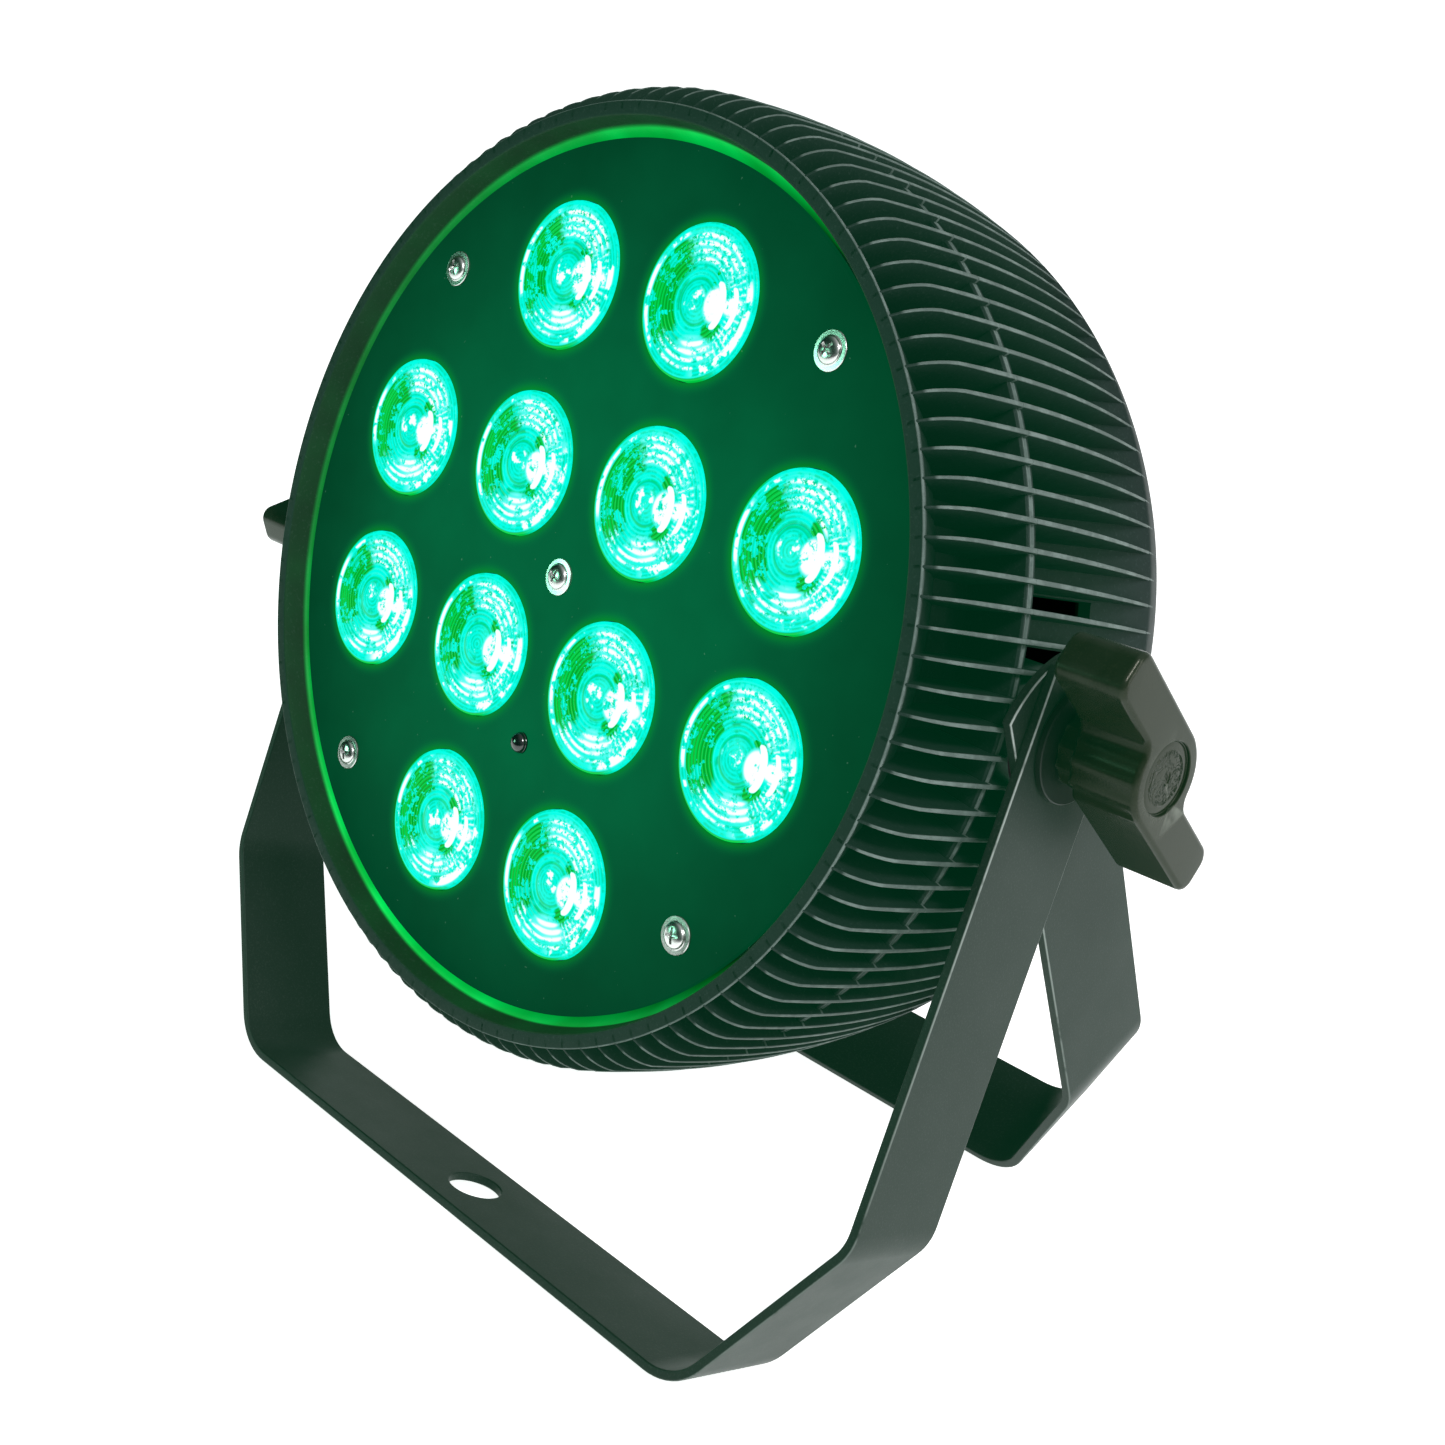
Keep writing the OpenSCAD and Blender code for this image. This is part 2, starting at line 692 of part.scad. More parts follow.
// The right half of a bracket's outline, moved in by t from its outer face
function half_outline(half, arm, bar, reach, t) =
    let (slant = atan2(half - bar, reach - arm))
    let (r_1 = arm_bend + strip_t, r_2 = bar_bend + strip_t)
    let (c_1 = [half - r_1, arm - r_1 * tan(slant / 2)])
    let (c_2 = [bar - r_2 * tan(45 - slant / 2), reach - r_2])
    concat([[half - t, -arm_over - 1]],
           arc(c_1, r_1 - t, 0, slant),
           arc(c_2, r_2 - t, slant, 90 - slant));

function across(points) = [for (p = points) [-p[0], p[1]]];
function back_along(points) = [for (i = [len(points) - 1:-1:0]) points[i]];

// A bracket bent from flat strip: two arms, two slants and the cross bar
module bracket(half, arm, bar, reach) {
    outer = half_outline(half, arm, bar, reach, 0);
    inner = half_outline(half, arm, bar, reach, strip_t);
    difference() {
        intersection() {
            translate([0, 0, -strip_w / 2]) linear_extrude(strip_w)
                polygon(concat(outer, back_along(across(outer)), across(inner), back_along(inner)));
            union() {
                translate([-half - 1, arm_end_r - arm_over, 0]) rotate([0, 90, 0])
                    cylinder(r = arm_end_r, h = 2 * half + 2);
                translate([-half - 1, 0, -strip_w]) cube([2 * half + 2, reach + 1, 2 * strip_w]);
            }
        }
        translate([-half - 1, 0, 0]) rotate([0, 90, 0]) cylinder(d = hole_d, h = 2 * half + 2);
        translate([0, reach + 1, 0]) rotate([90, 0, 0]) cylinder(d = bar_hole_d, h = strip_t + 2);
    }
}

module yoke_front() {
    color("#3c4340") swung(front_lean) bracket(front_half, front_arm, front_bar, front_reach);
}

module yoke_rear() {
    color("#3c4340") swung(-rear_lean) bracket(rear_half, rear_arm, rear_bar, rear_reach);
}

// ---------- knobs ----------

module wing(h) {
    r = knob_corner;
    translate([0, -knob_wing_w, 0]) cube([knob_span / 2 - r, knob_wing_w, h]);
    translate([0, -knob_wing_w + r, 0]) cube([knob_span / 2, knob_wing_w - 2 * r, h]);
    for (y = [r, knob_wing_w - r]) translate([knob_span / 2 - r, -y, 0]) cylinder(r = r, h = h);
}

// Built along +z from the washer: a ribbed hub with two wings set off to opposite sides
module knob_body() {
    difference() {
        union() {
            cylinder(d = knob_hub_d - 2, h = knob_h);
            for (a = [0:60:300]) rotate(a) block([knob_hub_d - 2.4, 3, knob_h], [1, 0, 0]);
            translate([0, 0, knob_h - knob_wing_h]) {
                cylinder(d = knob_hub_d, h = knob_wing_h);
                for (a = [0, 180]) rotate(a) wing(knob_wing_h);
            }
        }
        translate([0, 0, knob_h - 0.6]) cylinder(d = knob_recess_d, h = 1);
        translate([0, 0, -eps]) cylinder(d = shank_d, h = knob_h - 5);
    }
}

// Each knob's wings lie along the bracket frame's y axis
module knob(side, turn) {
    color("#2b2824") swung(-turn) on_axis(side) translate([0, 0, knob_x]) rotate(90) knob_body();
}

module knob_bolt(side) {
    color("#b4b8b6") swung(0) on_axis(side) translate([0, 0, boss_x - insert_l - 2])
        cylinder(d = shank_d, h = knob_x + knob_h - 5 - boss_x + insert_l + 2 - eps);
}

module knob_washer(side) {
    color("#8d918f") swung(0) on_axis(side) translate([0, 0, front_half + fit])
        ring(knob_washer_d / 2, hole_d / 2, knob_washer_t - fit);
}

// ---------- drawing ----------

front_shell();
rear_shell();
face_plate();
lens(1);  // lens_01
lens(2);  // lens_02
lens(3);  // lens_03
lens(4);  // lens_04
lens(5);  // lens_05
lens(6);  // lens_06
lens(7);  // lens_07
lens(8);  // lens_08
lens(9);  // lens_09
lens(10);  // lens_10
lens(11);  // lens_11
lens(12);  // lens_12
lens_holders();
led_emitters();
led_board();
ir_receiver();
face_screws();
face_standoffs();
heatsink();
fan_frame();
fan_rotor();
fan_screws();
shell_screws();
heatsink_screws();
power_board();
power_board_posts();
control_board();
board_screws();
back_panel();
panel_screws();
display_module();
display_window();
button(0);  // button_menu
button(1);  // button_up
button(2);  // button_down
button(3);  // button_enter
power_inlet();
fuse_drawer();
fuse();
dmx_in();
dmx_out();
dmx_out_latch();
socket_screws();
safety_eye();
pivot_inserts();
friction_washers();
yoke_front();
yoke_rear();
knob(1, knob_right_turn);  // knob_right
knob_bolt(1);  // knob_bolt_right
knob_washer(1);  // knob_washer_right
knob(-1, knob_left_turn);  // knob_left
knob_bolt(-1);  // knob_bolt_left
knob_washer(-1);  // knob_washer_left
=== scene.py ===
"""Looks of an LED par can light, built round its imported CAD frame. Lengths inside a Build are
millimetres in a local frame, and the matrices made by placed turn them into metres in the row frame."""
import json
from math import asin, atan2, ceil, cos, degrees, exp, hypot, pi, radians, sin, sqrt, tan, tau
import bpy
import bmesh
from mathutils import Matrix, Vector, kdtree
from mathutils.geometry import delaunay_2d_cdt


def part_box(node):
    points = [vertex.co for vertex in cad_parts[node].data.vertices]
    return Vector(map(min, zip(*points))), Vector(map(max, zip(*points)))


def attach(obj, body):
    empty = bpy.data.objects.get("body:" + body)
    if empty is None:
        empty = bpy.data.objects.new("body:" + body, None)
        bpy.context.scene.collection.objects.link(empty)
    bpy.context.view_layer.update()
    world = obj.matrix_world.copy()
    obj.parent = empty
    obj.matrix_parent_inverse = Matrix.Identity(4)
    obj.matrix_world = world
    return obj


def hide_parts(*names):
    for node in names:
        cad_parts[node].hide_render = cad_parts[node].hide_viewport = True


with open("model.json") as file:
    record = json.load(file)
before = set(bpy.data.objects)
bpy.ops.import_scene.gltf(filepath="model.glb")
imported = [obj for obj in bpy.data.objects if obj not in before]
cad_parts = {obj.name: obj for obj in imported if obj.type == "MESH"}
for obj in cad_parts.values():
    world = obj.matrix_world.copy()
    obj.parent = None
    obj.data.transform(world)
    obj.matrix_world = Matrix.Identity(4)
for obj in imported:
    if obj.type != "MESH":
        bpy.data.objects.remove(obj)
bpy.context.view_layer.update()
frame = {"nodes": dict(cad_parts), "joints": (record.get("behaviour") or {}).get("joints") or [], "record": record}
RECORD = frame["record"]
JOINTS = {j["name"]: j for j in frame["joints"]}
MOUNTS = {m["name"]: m for m in RECORD["mounts"]}
MM = 0.001


# ---------- camera, light and floor ----------

FLOOR_SIZE, FLOOR_GAP = 80.0, 0.0004
SKY_AXIS = Vector((0.62, 0.50, 0.60)).normalized()
CAMERA_AT, CAMERA_TARGET = Vector((0.26619, -0.22528, 0.28380)), Vector((0.01031, -0.00047, 0.09543))
CAMERA_ROLL = radians(-5.477)
LENS_MM, SENSOR_MM = 44.253, 36.0


def add_camera():
    forward = (CAMERA_TARGET - CAMERA_AT).normalized()
    level = forward.cross(Vector((0, 0, 1))).normalized()
    up = level.cross(forward)
    turn = Matrix.Rotation(CAMERA_ROLL, 3, -forward)
    data = bpy.data.cameras.new("camera")
    data.lens, data.sensor_width, data.clip_start = LENS_MM, SENSOR_MM, 0.01
    camera = bpy.data.objects.new("camera", data)
    matrix = Matrix((turn @ level, turn @ up, -forward)).transposed().to_4x4()
    matrix.translation = CAMERA_AT
    camera.matrix_world = matrix
    bpy.context.scene.collection.objects.link(camera)
    bpy.context.scene.camera = camera


def area_light(name, at, target, size, power, color=(1, 1, 1)):
    data = bpy.data.lights.new(name, "AREA")
    data.shape = "RECTANGLE"
    data.size, data.size_y = size
    data.energy, data.color = power, color
    light = bpy.data.objects.new(name, data)
    light.location = at
    light.rotation_euler = (Vector(target) - Vector(at)).to_track_quat("-Z", "Y").to_euler()
    bpy.context.scene.collection.objects.link(light)


def add_world():
    """A soft studio: bright behind and above on the right, dark and green towards the front left.
    The camera sees plain white instead."""
    world = bpy.data.worlds.new("studio")
    world.use_nodes = True
    n = Nodes(world.node_tree)
    facing = n.along(n.node("ShaderNodeTexCoord").outputs["Generated"], SKY_AXIS)
    strength = n.fit(n.step(facing, -0.30, 0.95), 0.48, 0.02)
    tint = n.ramp(strength, [(0.0, (0.10, 0.80, 0.45)), (0.30, (0.94, 0.98, 0.98))])
    light = n.node("ShaderNodeBackground", Color=tint, Strength=strength)
    paper = n.node("ShaderNodeBackground", Color=(1, 1, 1, 1))
    both = n.node("ShaderNodeMixShader", Fac=n.node("ShaderNodeLightPath").outputs["Is Camera Ray"])
    n.tree.links.new(light.outputs[0], both.inputs[1])
    n.tree.links.new(paper.outputs[0], both.inputs[2])
    n.node("ShaderNodeOutputWorld", Surface=both.outputs[0])
    scene = bpy.context.scene
    scene.world = world
    scene.view_settings.view_transform = "Standard"
    scene.view_settings.look = "None"


def add_floor():
    mesh = bpy.data.meshes.new("floor")
    s = FLOOR_SIZE / 2
    mesh.from_pydata([(-s, -s, 0), (s, -s, 0), (s, s, 0), (-s, s, 0)], [], [(0, 1, 2, 3)])
    floor = bpy.data.objects.new("floor", mesh)
    floor.location.z = -FLOOR_GAP
    bpy.context.scene.collection.objects.link(floor)
    m = Paint("floor_paint")
    grain = m.noise(6, 2)
    tone = m.ramp(grain, [(0.3, (0.88, 0.88, 0.88)), (0.7, (0.92, 0.92, 0.92))])
    m.finish(tone, 0.8, specular=0.1, emission_color=(1.0, 1.0, 1.0), emission_strength=0.93)
    mesh.materials.append(m.material)


# ---------- materials ----------

# The lit lenses cast green over the dark paint, less and less towards the back of the head.
CAST, CAST_COLOR, COAT_TINT = 0.019, (0.0, 1.0, 0.36), (0.85, 1.0, 0.97)


class Nodes:
    """A small writer of shader nodes into an emptied tree. Colours are linear."""

    def __init__(self, tree):
        self.tree = tree
        tree.nodes.clear()

    def put(self, socket, value):
        if isinstance(value, bpy.types.NodeSocket):
            self.tree.links.new(value, socket)
        elif isinstance(value, tuple) and len(value) == 3:
            socket.default_value = (*value, 1)
        else:
            socket.default_value = value

    def node(self, kind, **inputs):
        n = self.tree.nodes.new(kind)
        for key, value in inputs.items():
            self.put(n.inputs[key], value)
        return n

    def uv(self, layer):
        n = self.tree.nodes.new("ShaderNodeUVMap")
        n.uv_map = layer
        return n.outputs["UV"]

    def attribute(self, name):
        n = self.tree.nodes.new("ShaderNodeAttribute")
        n.attribute_name = name
        return n.outputs["Fac"]

    def along(self, vector, axis):
        """How far a point lies along an axis."""
        n = self.tree.nodes.new("ShaderNodeVectorMath")
        n.operation = "DOT_PRODUCT"
        n.inputs[1].default_value = axis
        self.tree.links.new(vector, n.inputs[0])
        return n.outputs["Value"]

    def math(self, operation, a, b=0.0, c=0.0):
        n = self.tree.nodes.new("ShaderNodeMath")
        n.operation = operation
        for socket, value in zip(n.inputs, (a, b, c)):
            self.put(socket, value)
        return n.outputs[0]

    def chain(self, operation, values):
        out = values[0]
        for value in values[1:]:
            out = self.math(operation, out, value)
        return out

    def times(self, *factors):
        return self.chain("MULTIPLY", factors)

    def most(self, *values):
        return self.chain("MAXIMUM", values)

    def plus(self, a, b):
        return self.math("ADD", a, b)

    def minus(self, a, b):
        return self.math("SUBTRACT", a, b)

    def fit(self, value, scale, offset):
        return self.math("MULTIPLY_ADD", value, scale, offset)

    def length(self, u, v):
        return self.math("SQRT", self.plus(self.times(u, u), self.times(v, v)))

    def step(self, value, low, high):
        """0 under low and 1 over high, and smooth between; low above high turns it round."""
        n = self.node("ShaderNodeMapRange", Value=value)
        n.interpolation_type = "SMOOTHSTEP"
        flip = low > high
        for key, end in (("From Min", min(low, high)), ("From Max", max(low, high)), ("To Min", float(flip)),
                         ("To Max", float(not flip))):
            n.inputs[key].default_value = end
        return n.outputs["Result"]

    def ramp(self, value, stops):
        n = self.node("ShaderNodeValToRGB", Fac=value)
        for point, (at, color) in zip(n.color_ramp.elements, stops):
            point.position, point.color = at, (*color, 1)
        return n.outputs["Color"]

    def tone(self, value, color, dark, start=0.3):
        """The colour, down to its dark share where the value is low."""
        return self.ramp(value, [(start, tuple(c * dark for c in color)), (0.7, color)])

    def mix(self, factor, a, b):
        n = self.tree.nodes.new("ShaderNodeMix")
        n.data_type = "RGBA"
        for key, value in ((0, factor), (6, a), (7, b)):
            self.put(n.inputs[key], value)
        return n.outputs[2]

    def sharpness(self, low, high):
        """How sharp the mesh is at a point, for wear along its edges."""
        g = self.tree.nodes.new("ShaderNodeNewGeometry")
        return self.step(g.outputs["Pointiness"], low, high)

    def bump(self, height, strength, distance):
        n = self.node("ShaderNodeBump", Strength=strength, Distance=distance, Height=height)
        return n.outputs["Normal"]


class Paint(Nodes):
    """A material about one principled shader."""

    def __init__(self, name):
        self.material = bpy.data.materials.new(name)
        self.material.use_nodes = True
        super().__init__(self.material.node_tree)
        self.shader = self.node("ShaderNodeBsdfPrincipled")
        self.node("ShaderNodeOutputMaterial", Surface=self.shader.outputs["BSDF"])
        self.at = self.node("ShaderNodeTexCoord").outputs["Object"]

    def noise(self, scale, detail=3, rough=0.5, distortion=0.0):
        return self.node("ShaderNodeTexNoise", Vector=self.at, Scale=scale, Detail=detail, Roughness=rough,
                         Distortion=distortion).outputs["Fac"]

    def finish(self, color, roughness=0.5, metallic=0.0, specular=0.5, normal=None, cast=0.0, **more):
        """more is named by the shader's sockets; cast is the share of the lenses' light on the paint."""
        values = {"Base Color": color, "Roughness": roughness, "Metallic": metallic,
                  "Specular IOR Level": specular}
        if normal is not None:
            values["Normal"] = normal
        if cast:
            values.update({"Emission Color": CAST_COLOR, "Emission Strength": CAST * cast})
        values.update({key.replace("_", " ").title(): value for key, value in more.items()})
        for key, value in values.items():
            self.put(self.shader.inputs[key], value)
        return self.material


def metal(name, color, rough, scratch_mm=0.25, dark=0.6):
    m = Paint(name)
    fine = m.noise(1 / (scratch_mm * MM), 3, 0.7)
    smear = m.noise(120, 4, 0.6)
    return m.finish(m.tone(smear, color, dark, 0.25), m.fit(smear, 0.25, rough - 0.1), 1.0,
                    normal=m.bump(fine, 0.25, 0.02 * MM))


def plastic(name, color, rough, specular=0.5, spread=0.35, cast=0.0):
    m = Paint(name)
    dark, pale = (tuple(c * (1 + k * spread) for c in color) for k in (-1, 1))
    tone = m.ramp(m.noise(90, 4, 0.6), [(0.3, dark), (0.7, pale)])
    roughness = m.fit(m.noise(260, 3, 0.6), 0.2, rough - 0.1)
    grain = m.noise(2000, 2, 0.6)
    return m.finish(tone, roughness, specular=specular, normal=m.bump(grain, 0.5, 0.03 * MM), cast=cast)


# ---------- placing ----------

def placed(origin, x, y, z):
    """A local frame in millimetres, as the matrix that takes its points to metres in the row frame."""
    m = Matrix((x, y, z)).transposed().to_4x4() @ Matrix.Scale(MM, 4)
    m.translation = origin
    return m


def turned(angle, about="Z"):
    return Matrix.Rotation(radians(angle), 4, about)


PIVOT = Vector(JOINTS["head_tilt"]["pos_m"])
X = Vector((1, 0, 0))
BACK = Vector(JOINTS["fan_spin"]["axis"]).normalized()
PLATE_LOW, PLATE_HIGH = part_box("face_plate")
PLATE_T = 1.5
HEAD = placed((PLATE_LOW + PLATE_HIGH) / 2 - BACK * PLATE_T / 2 * MM, X, BACK.cross(X), BACK)
PIVOT_DEPTH = (PIVOT - HEAD.translation).dot(BACK) / MM


def bracket_place(mount):
    """At the pivot, with y towards the middle of the bracket's bar."""
    down = Vector(MOUNTS[mount]["axis"]).normalized()
    return placed(PIVOT, X, down, X.cross(down))


def axis_place(side, turn=0.0):
    """On the pivot axis: z runs outward on that side, and x turns from straight down towards the back."""
    turn = radians(turn)
    down, z = Vector((0, sin(turn), -cos(turn))), X * side
    return placed(PIVOT, down, z.cross(down), z)


FRONT_BRACKET = bracket_place("front_bar_hole")
REAR_BRACKET = bracket_place("rear_bar_hole")


# ---------- mesh building ----------

WELD_GAP = 0.002


def circle(r, n, at=(0, 0)):
    return [(at[0] + r * cos(a), at[1] + r * sin(a)) for a in (tau * i / n for i in range(n))]


def arc(c, r, a0, a1, n):
    return [(c[0] + r * cos(radians(a)), c[1] + r * sin(radians(a)))
            for a in spread(a0, a1, n)]


def rounded_rect(w, h, r, at=(0, 0), n=6):
    out = []
    for k, (sx, sy) in enumerate(((1, 1), (-1, 1), (-1, -1), (1, -1))):
        out += arc((at[0] + sx * (w / 2 - r), at[1] + sy * (h / 2 - r)), r, 90 * k, 90 * k + 90, n)
    return out


def shrink(loop, d):
    """The loop moved to its left by d, with mitred corners; a counter-clockwise loop gets smaller."""
    out, n = [], len(loop)
    for i in range(n):
        a, b, c = loop[i - 1], loop[i], loop[(i + 1) % n]
        u = Vector((b[0] - a[0], b[1] - a[1])).normalized()
        v = Vector((c[0] - b[0], c[1] - b[1])).normalized()
        nu, nv = Vector((-u.y, u.x)), Vector((-v.y, v.x))
        m = nu + nv
        m = m / max(m.dot(nu), 0.3)
        out.append((b[0] + m.x * d, b[1] + m.y * d))
    return out


def inside(p, loop):
    hit = False
    for i in range(len(loop)):
        (xi, yi), (xj, yj) = loop[i], loop[i - 1]
        if (yi > p[1]) != (yj > p[1]) and p[0] < (xj - xi) * (p[1] - yi) / (yj - yi) + xi:
            hit = not hit
    return hit


def spread(a, b, n):
    return [a + (b - a) * i / n for i in range(n + 1)]


def between(z, stops):
    """The radius at depth z along (depth, radius) stops."""
    for (z0, r0), (z1, r1) in zip(stops, stops[1:]):
        if z <= z1:
            return r0 + (r1 - r0) * (z - z0) / (z1 - z0)
    return stops[-1][1]


class Build:
    """Collects vertices and faces in a local frame, in millimetres."""

    def __init__(self):
        self.verts, self.faces = [], []

    def add(self, points):
        start = len(self.verts)
        self.verts += [tuple(p) for p in points]
        return list(range(start, len(self.verts)))

    def ring(self, loop, z):
        return self.add([(x, y, z) for x, y in loop])

    def bridge(self, a, b):
        for i in range(len(a)):
            j = (i + 1) % len(a)
            self.faces.append((a[i], a[j], b[j], b[i]))

    def loft(self, rings, flip=False):
        for a, b in zip(rings, rings[1:]):
            self.bridge(*((b, a) if flip else (a, b)))

    def revolve(self, profile, n=96, closed=False, at=(0, 0)):
        """profile is (radius, height) pairs. An end at radius 0 is closed to a point."""
        rings = [self.ring(circle(r, n, at) if r > 1e-6 else [at], z) for r, z in profile]
        for a, b in zip(rings, rings[1:] + (rings[:1] if closed else [])):
            if len(a) == 1 or len(b) == 1:
                ring, tip = (b, a[0]) if len(a) == 1 else (a, b[0])
                for i in range(n):
                    face = (ring[i], ring[(i + 1) % n], tip)
                    self.faces.append(face[::-1] if len(a) == 1 else face)
            else:
                self.bridge(a, b)

    def cap(self, loops, z, up, extra_edges=()):
        """Fills between the first loop and the others, of (x, y) points; returns each loop's vertices."""
        flat = [Vector(p) for loop in loops for p in loop]
        edges, ids = [], []
        for loop in loops:
            start, n = len(edges), len(loop)
            edges += [(start + i, start + (i + 1) % n) for i in range(n)]
            ids.append(range(start, start + n))
        pts, _, faces, origin, _, _ = delaunay_2d_cdt(flat, edges + list(extra_edges), [], 0, 1e-6)
        made = self.ring(pts, z)
        index = {o: made[k] for k, source in enumerate(origin) for o in source}
        for f in faces:
            c = sum((pts[i] for i in f), Vector((0, 0))) / len(f)
            if inside(c, loops[0]) and not any(inside(c, hole) for hole in loops[1:]):
                face = [made[i] for i in f]
                self.faces.append(tuple(face if up else face[::-1]))
        return [[index[i] for i in loop] for loop in ids]

    def wall(self, low, high, z0, z1, edge, steps, base, top=None, sign=1):
        """The wall round a loop between its two caps, with both edges rounded; sign is -1 round a hole."""
        rings = [low]
        for i in range(1, steps + 1):
            a = pi / 2 * i / steps
            loop = shrink(base, sign * edge * (1 - sin(a)))
            rings.append(self.ring(loop, z0 + edge * (1 - cos(a))))
        for i in range(steps):
            a = pi / 2 * i / steps
            loop = shrink(top or base, sign * edge * (1 - cos(a)))
            rings.append(self.ring(loop, z1 - edge * (1 - sin(a))))
        self.loft(rings + [high], sign < 0)

    def slab(self, outer, holes, z0, z1, edge=0.3, steps=3, hole_edge=None, extra_edges=()):
        """A plate between z0 and z1 with rounded edges. outer and holes run counter-clockwise."""
        loops = [(outer, 1, edge)] + [(h, -1, edge if hole_edge is None else hole_edge) for h in holes]
        shrunk = [shrink(loop, sign * e) for loop, sign, e in loops]
        low = self.cap(shrunk, z0, False, extra_edges)
        high = self.cap(shrunk, z1, True, extra_edges)
        for k, (loop, sign, e) in enumerate(loops):
            self.wall(low[k], high[k], z0, z1, e, steps, loop, sign=sign)

    def box(self, size, at, place=None):
        """A box about at, turned and moved by place if there is one."""
        x, y, z = (s / 2 for s in size)
        points = [(at[0] + sx * x, at[1] + sy * y, at[2] + sz * z)
                  for sz in (-1, 1) for sx, sy in ((-1, -1), (1, -1), (1, 1), (-1, 1))]
        if place is not None:
            points = [place @ Vector(q) for q in points]
        a, b, c, d, e, f, g, h = self.add(points)
        self.faces += [(d, c, b, a), (e, f, g, h), (a, b, f, e), (b, c, g, f), (c, d, h, g), (d, a, e, h)]

    def join(self, other, matrix):
        start = len(self.verts)
        self.verts += [tuple(matrix @ Vector(v)) for v in other.verts]
        self.faces += [tuple(i + start for i in f) for f in other.faces]

    def mesh(self, name, points, gap):
        """The faces on the given points, those closer than gap joined, and all turned outward."""
        mesh = bpy.data.meshes.new(name)
        mesh.from_pydata(points, [], self.faces)
        bm = bmesh.new()
        bm.from_mesh(mesh)
        bmesh.ops.remove_doubles(bm, verts=bm.verts, dist=gap)
        bmesh.ops.delete(bm, geom=[v for v in bm.verts if not v.link_faces], context="VERTS")
        bmesh.ops.recalc_face_normals(bm, faces=bm.faces)
        bm.to_mesh(mesh)
        bm.free()
        return mesh

    def object(self, name, place, body, slot, material, replaces=(), angle=35.0, warp=None):
        points = [place @ Vector(warp(v) if warp else v) for v in self.verts]
        mesh = self.mesh(name, points, WELD_GAP * MM)
        mesh.shade_smooth()
        mesh.set_sharp_from_angle(angle=radians(angle))
        mesh.materials.append(material)
        piece = linked(name, mesh)
        piece.modifiers.new("normals", "WEIGHTED_NORMAL").keep_sharp = True
        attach(piece, body)
        if replaces:
            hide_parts(*replaces)
        return piece

    def tool(self):
        """The build as an object in its own units, to cut or to be cut."""
        return linked("tool", self.mesh("tool", self.verts, 1e-6))


def linked(name, data):
    piece = bpy.data.objects.new(name, data)
    bpy.context.scene.collection.objects.link(piece)
    return piece


def cut(piece, build):
    """Subtracts a build, given in the piece's own units, from the piece."""
    tool = build.tool()
    modifier = piece.modifiers.new("cut", "BOOLEAN")
    modifier.operation, modifier.object, modifier.solver = "DIFFERENCE", tool, "EXACT"
    bpy.context.view_layer.update()
    result = bpy.data.meshes.new_from_object(piece.evaluated_get(bpy.context.evaluated_depsgraph_get()))
    piece.modifiers.remove(modifier)
    old, piece.data = piece.data, result
    spare = tool.data
    bpy.data.objects.remove(tool)
    bpy.data.meshes.remove(spare)
    bpy.data.meshes.remove(old)


# ---------- housing, in the head frame ----------

LIP_Z, LIP_R, LIP_IN = -4.7, 93.4, 90.3
SEAM_Z, SEAM_GAP = 19.5, 0.05
BACK_Z, BACK_FACE = 83.0, 84.5
FLOOR_R, WALL_R, FLANGE_R, FLANGE_T = 86.5, 84.5, 98.6, 1.3
FIN_COUNT, FIN_END_Z = 120, 65.5
FRONT_ROOT = [(-4.7, 91.6), (0.5, 89.8), (9, 85.5), (19.5, 85.5)]
REAR_ROOT = [(19.5, 85.5), (22.5, 85.5), (61.5, 95.8), (70, 95.0)]
LIP_WALL = [(-4.1, 90.3), (0.5, 89.4)]
BOSS_GAP = 7.5
WINDOW_ANGLES, WINDOW_SIZE = (-13.5, -7.5, 7.5, 13.5), (14, 3.2, 26)
TAIL_SLOTS, TAIL_SLOT_SIZE = 24, (10, 3, 16)


def outline_r(z):
    """The housing's outer radius at depth z."""
    barrel = -100 + sqrt(200 ** 2 - (z - 29) ** 2)
    nose = 81.4 + sqrt(17.5 ** 2 - (z - 8) ** 2) if z < 8 else 200
    shoulder = 58.6 + sqrt(40 ** 2 - (z - 52.3) ** 2) if z > 52.3 else 200
    return min(barrel, nose, shoulder)


def add_fin(build, angle, stations, root, thick):
    """One rounded blade: stations are depths, root its hidden inner edge, thick its thickness by depth."""
    c, s = cos(radians(angle)), sin(radians(angle))
    rings = []
    for z in stations:
        r = min(outline_r(z), LIP_R - 0.1 + 1.1 * (z + 4.5))
        half, e = thick(z) / 2, thick(z) * 0.32
        edge = [(half, r - e), (half - 0.3 * e, r - 0.3 * e), (half - e, r)]
        section = [(half, between(z, root))] + edge
        section = [(-a, q) for a, q in section] + section[::-1]
        rings.append(build.ring([(q * c - a * s, q * s + a * c) for a, q in section], z))
    build.loft(rings)
    build.faces += [tuple(rings[0]), tuple(rings[-1][::-1])]


def spill(z, angle):
    """The light on the lip's inner wall: its line is widest at the top, and bright again at the bottom."""
    def near(middle, width):
        return exp(-((angle - middle + 180) % 360 - 180) ** 2 / width ** 2)
    low = -0.45 - 1.5 * near(80, 30)
    share = max(0.0, min(1.0, (z - low) / (0.45 - low)))
    return share ** 1.6 * min(1.0, 0.22 + 0.5 * near(85, 34) + 0.65 * near(250, 42))


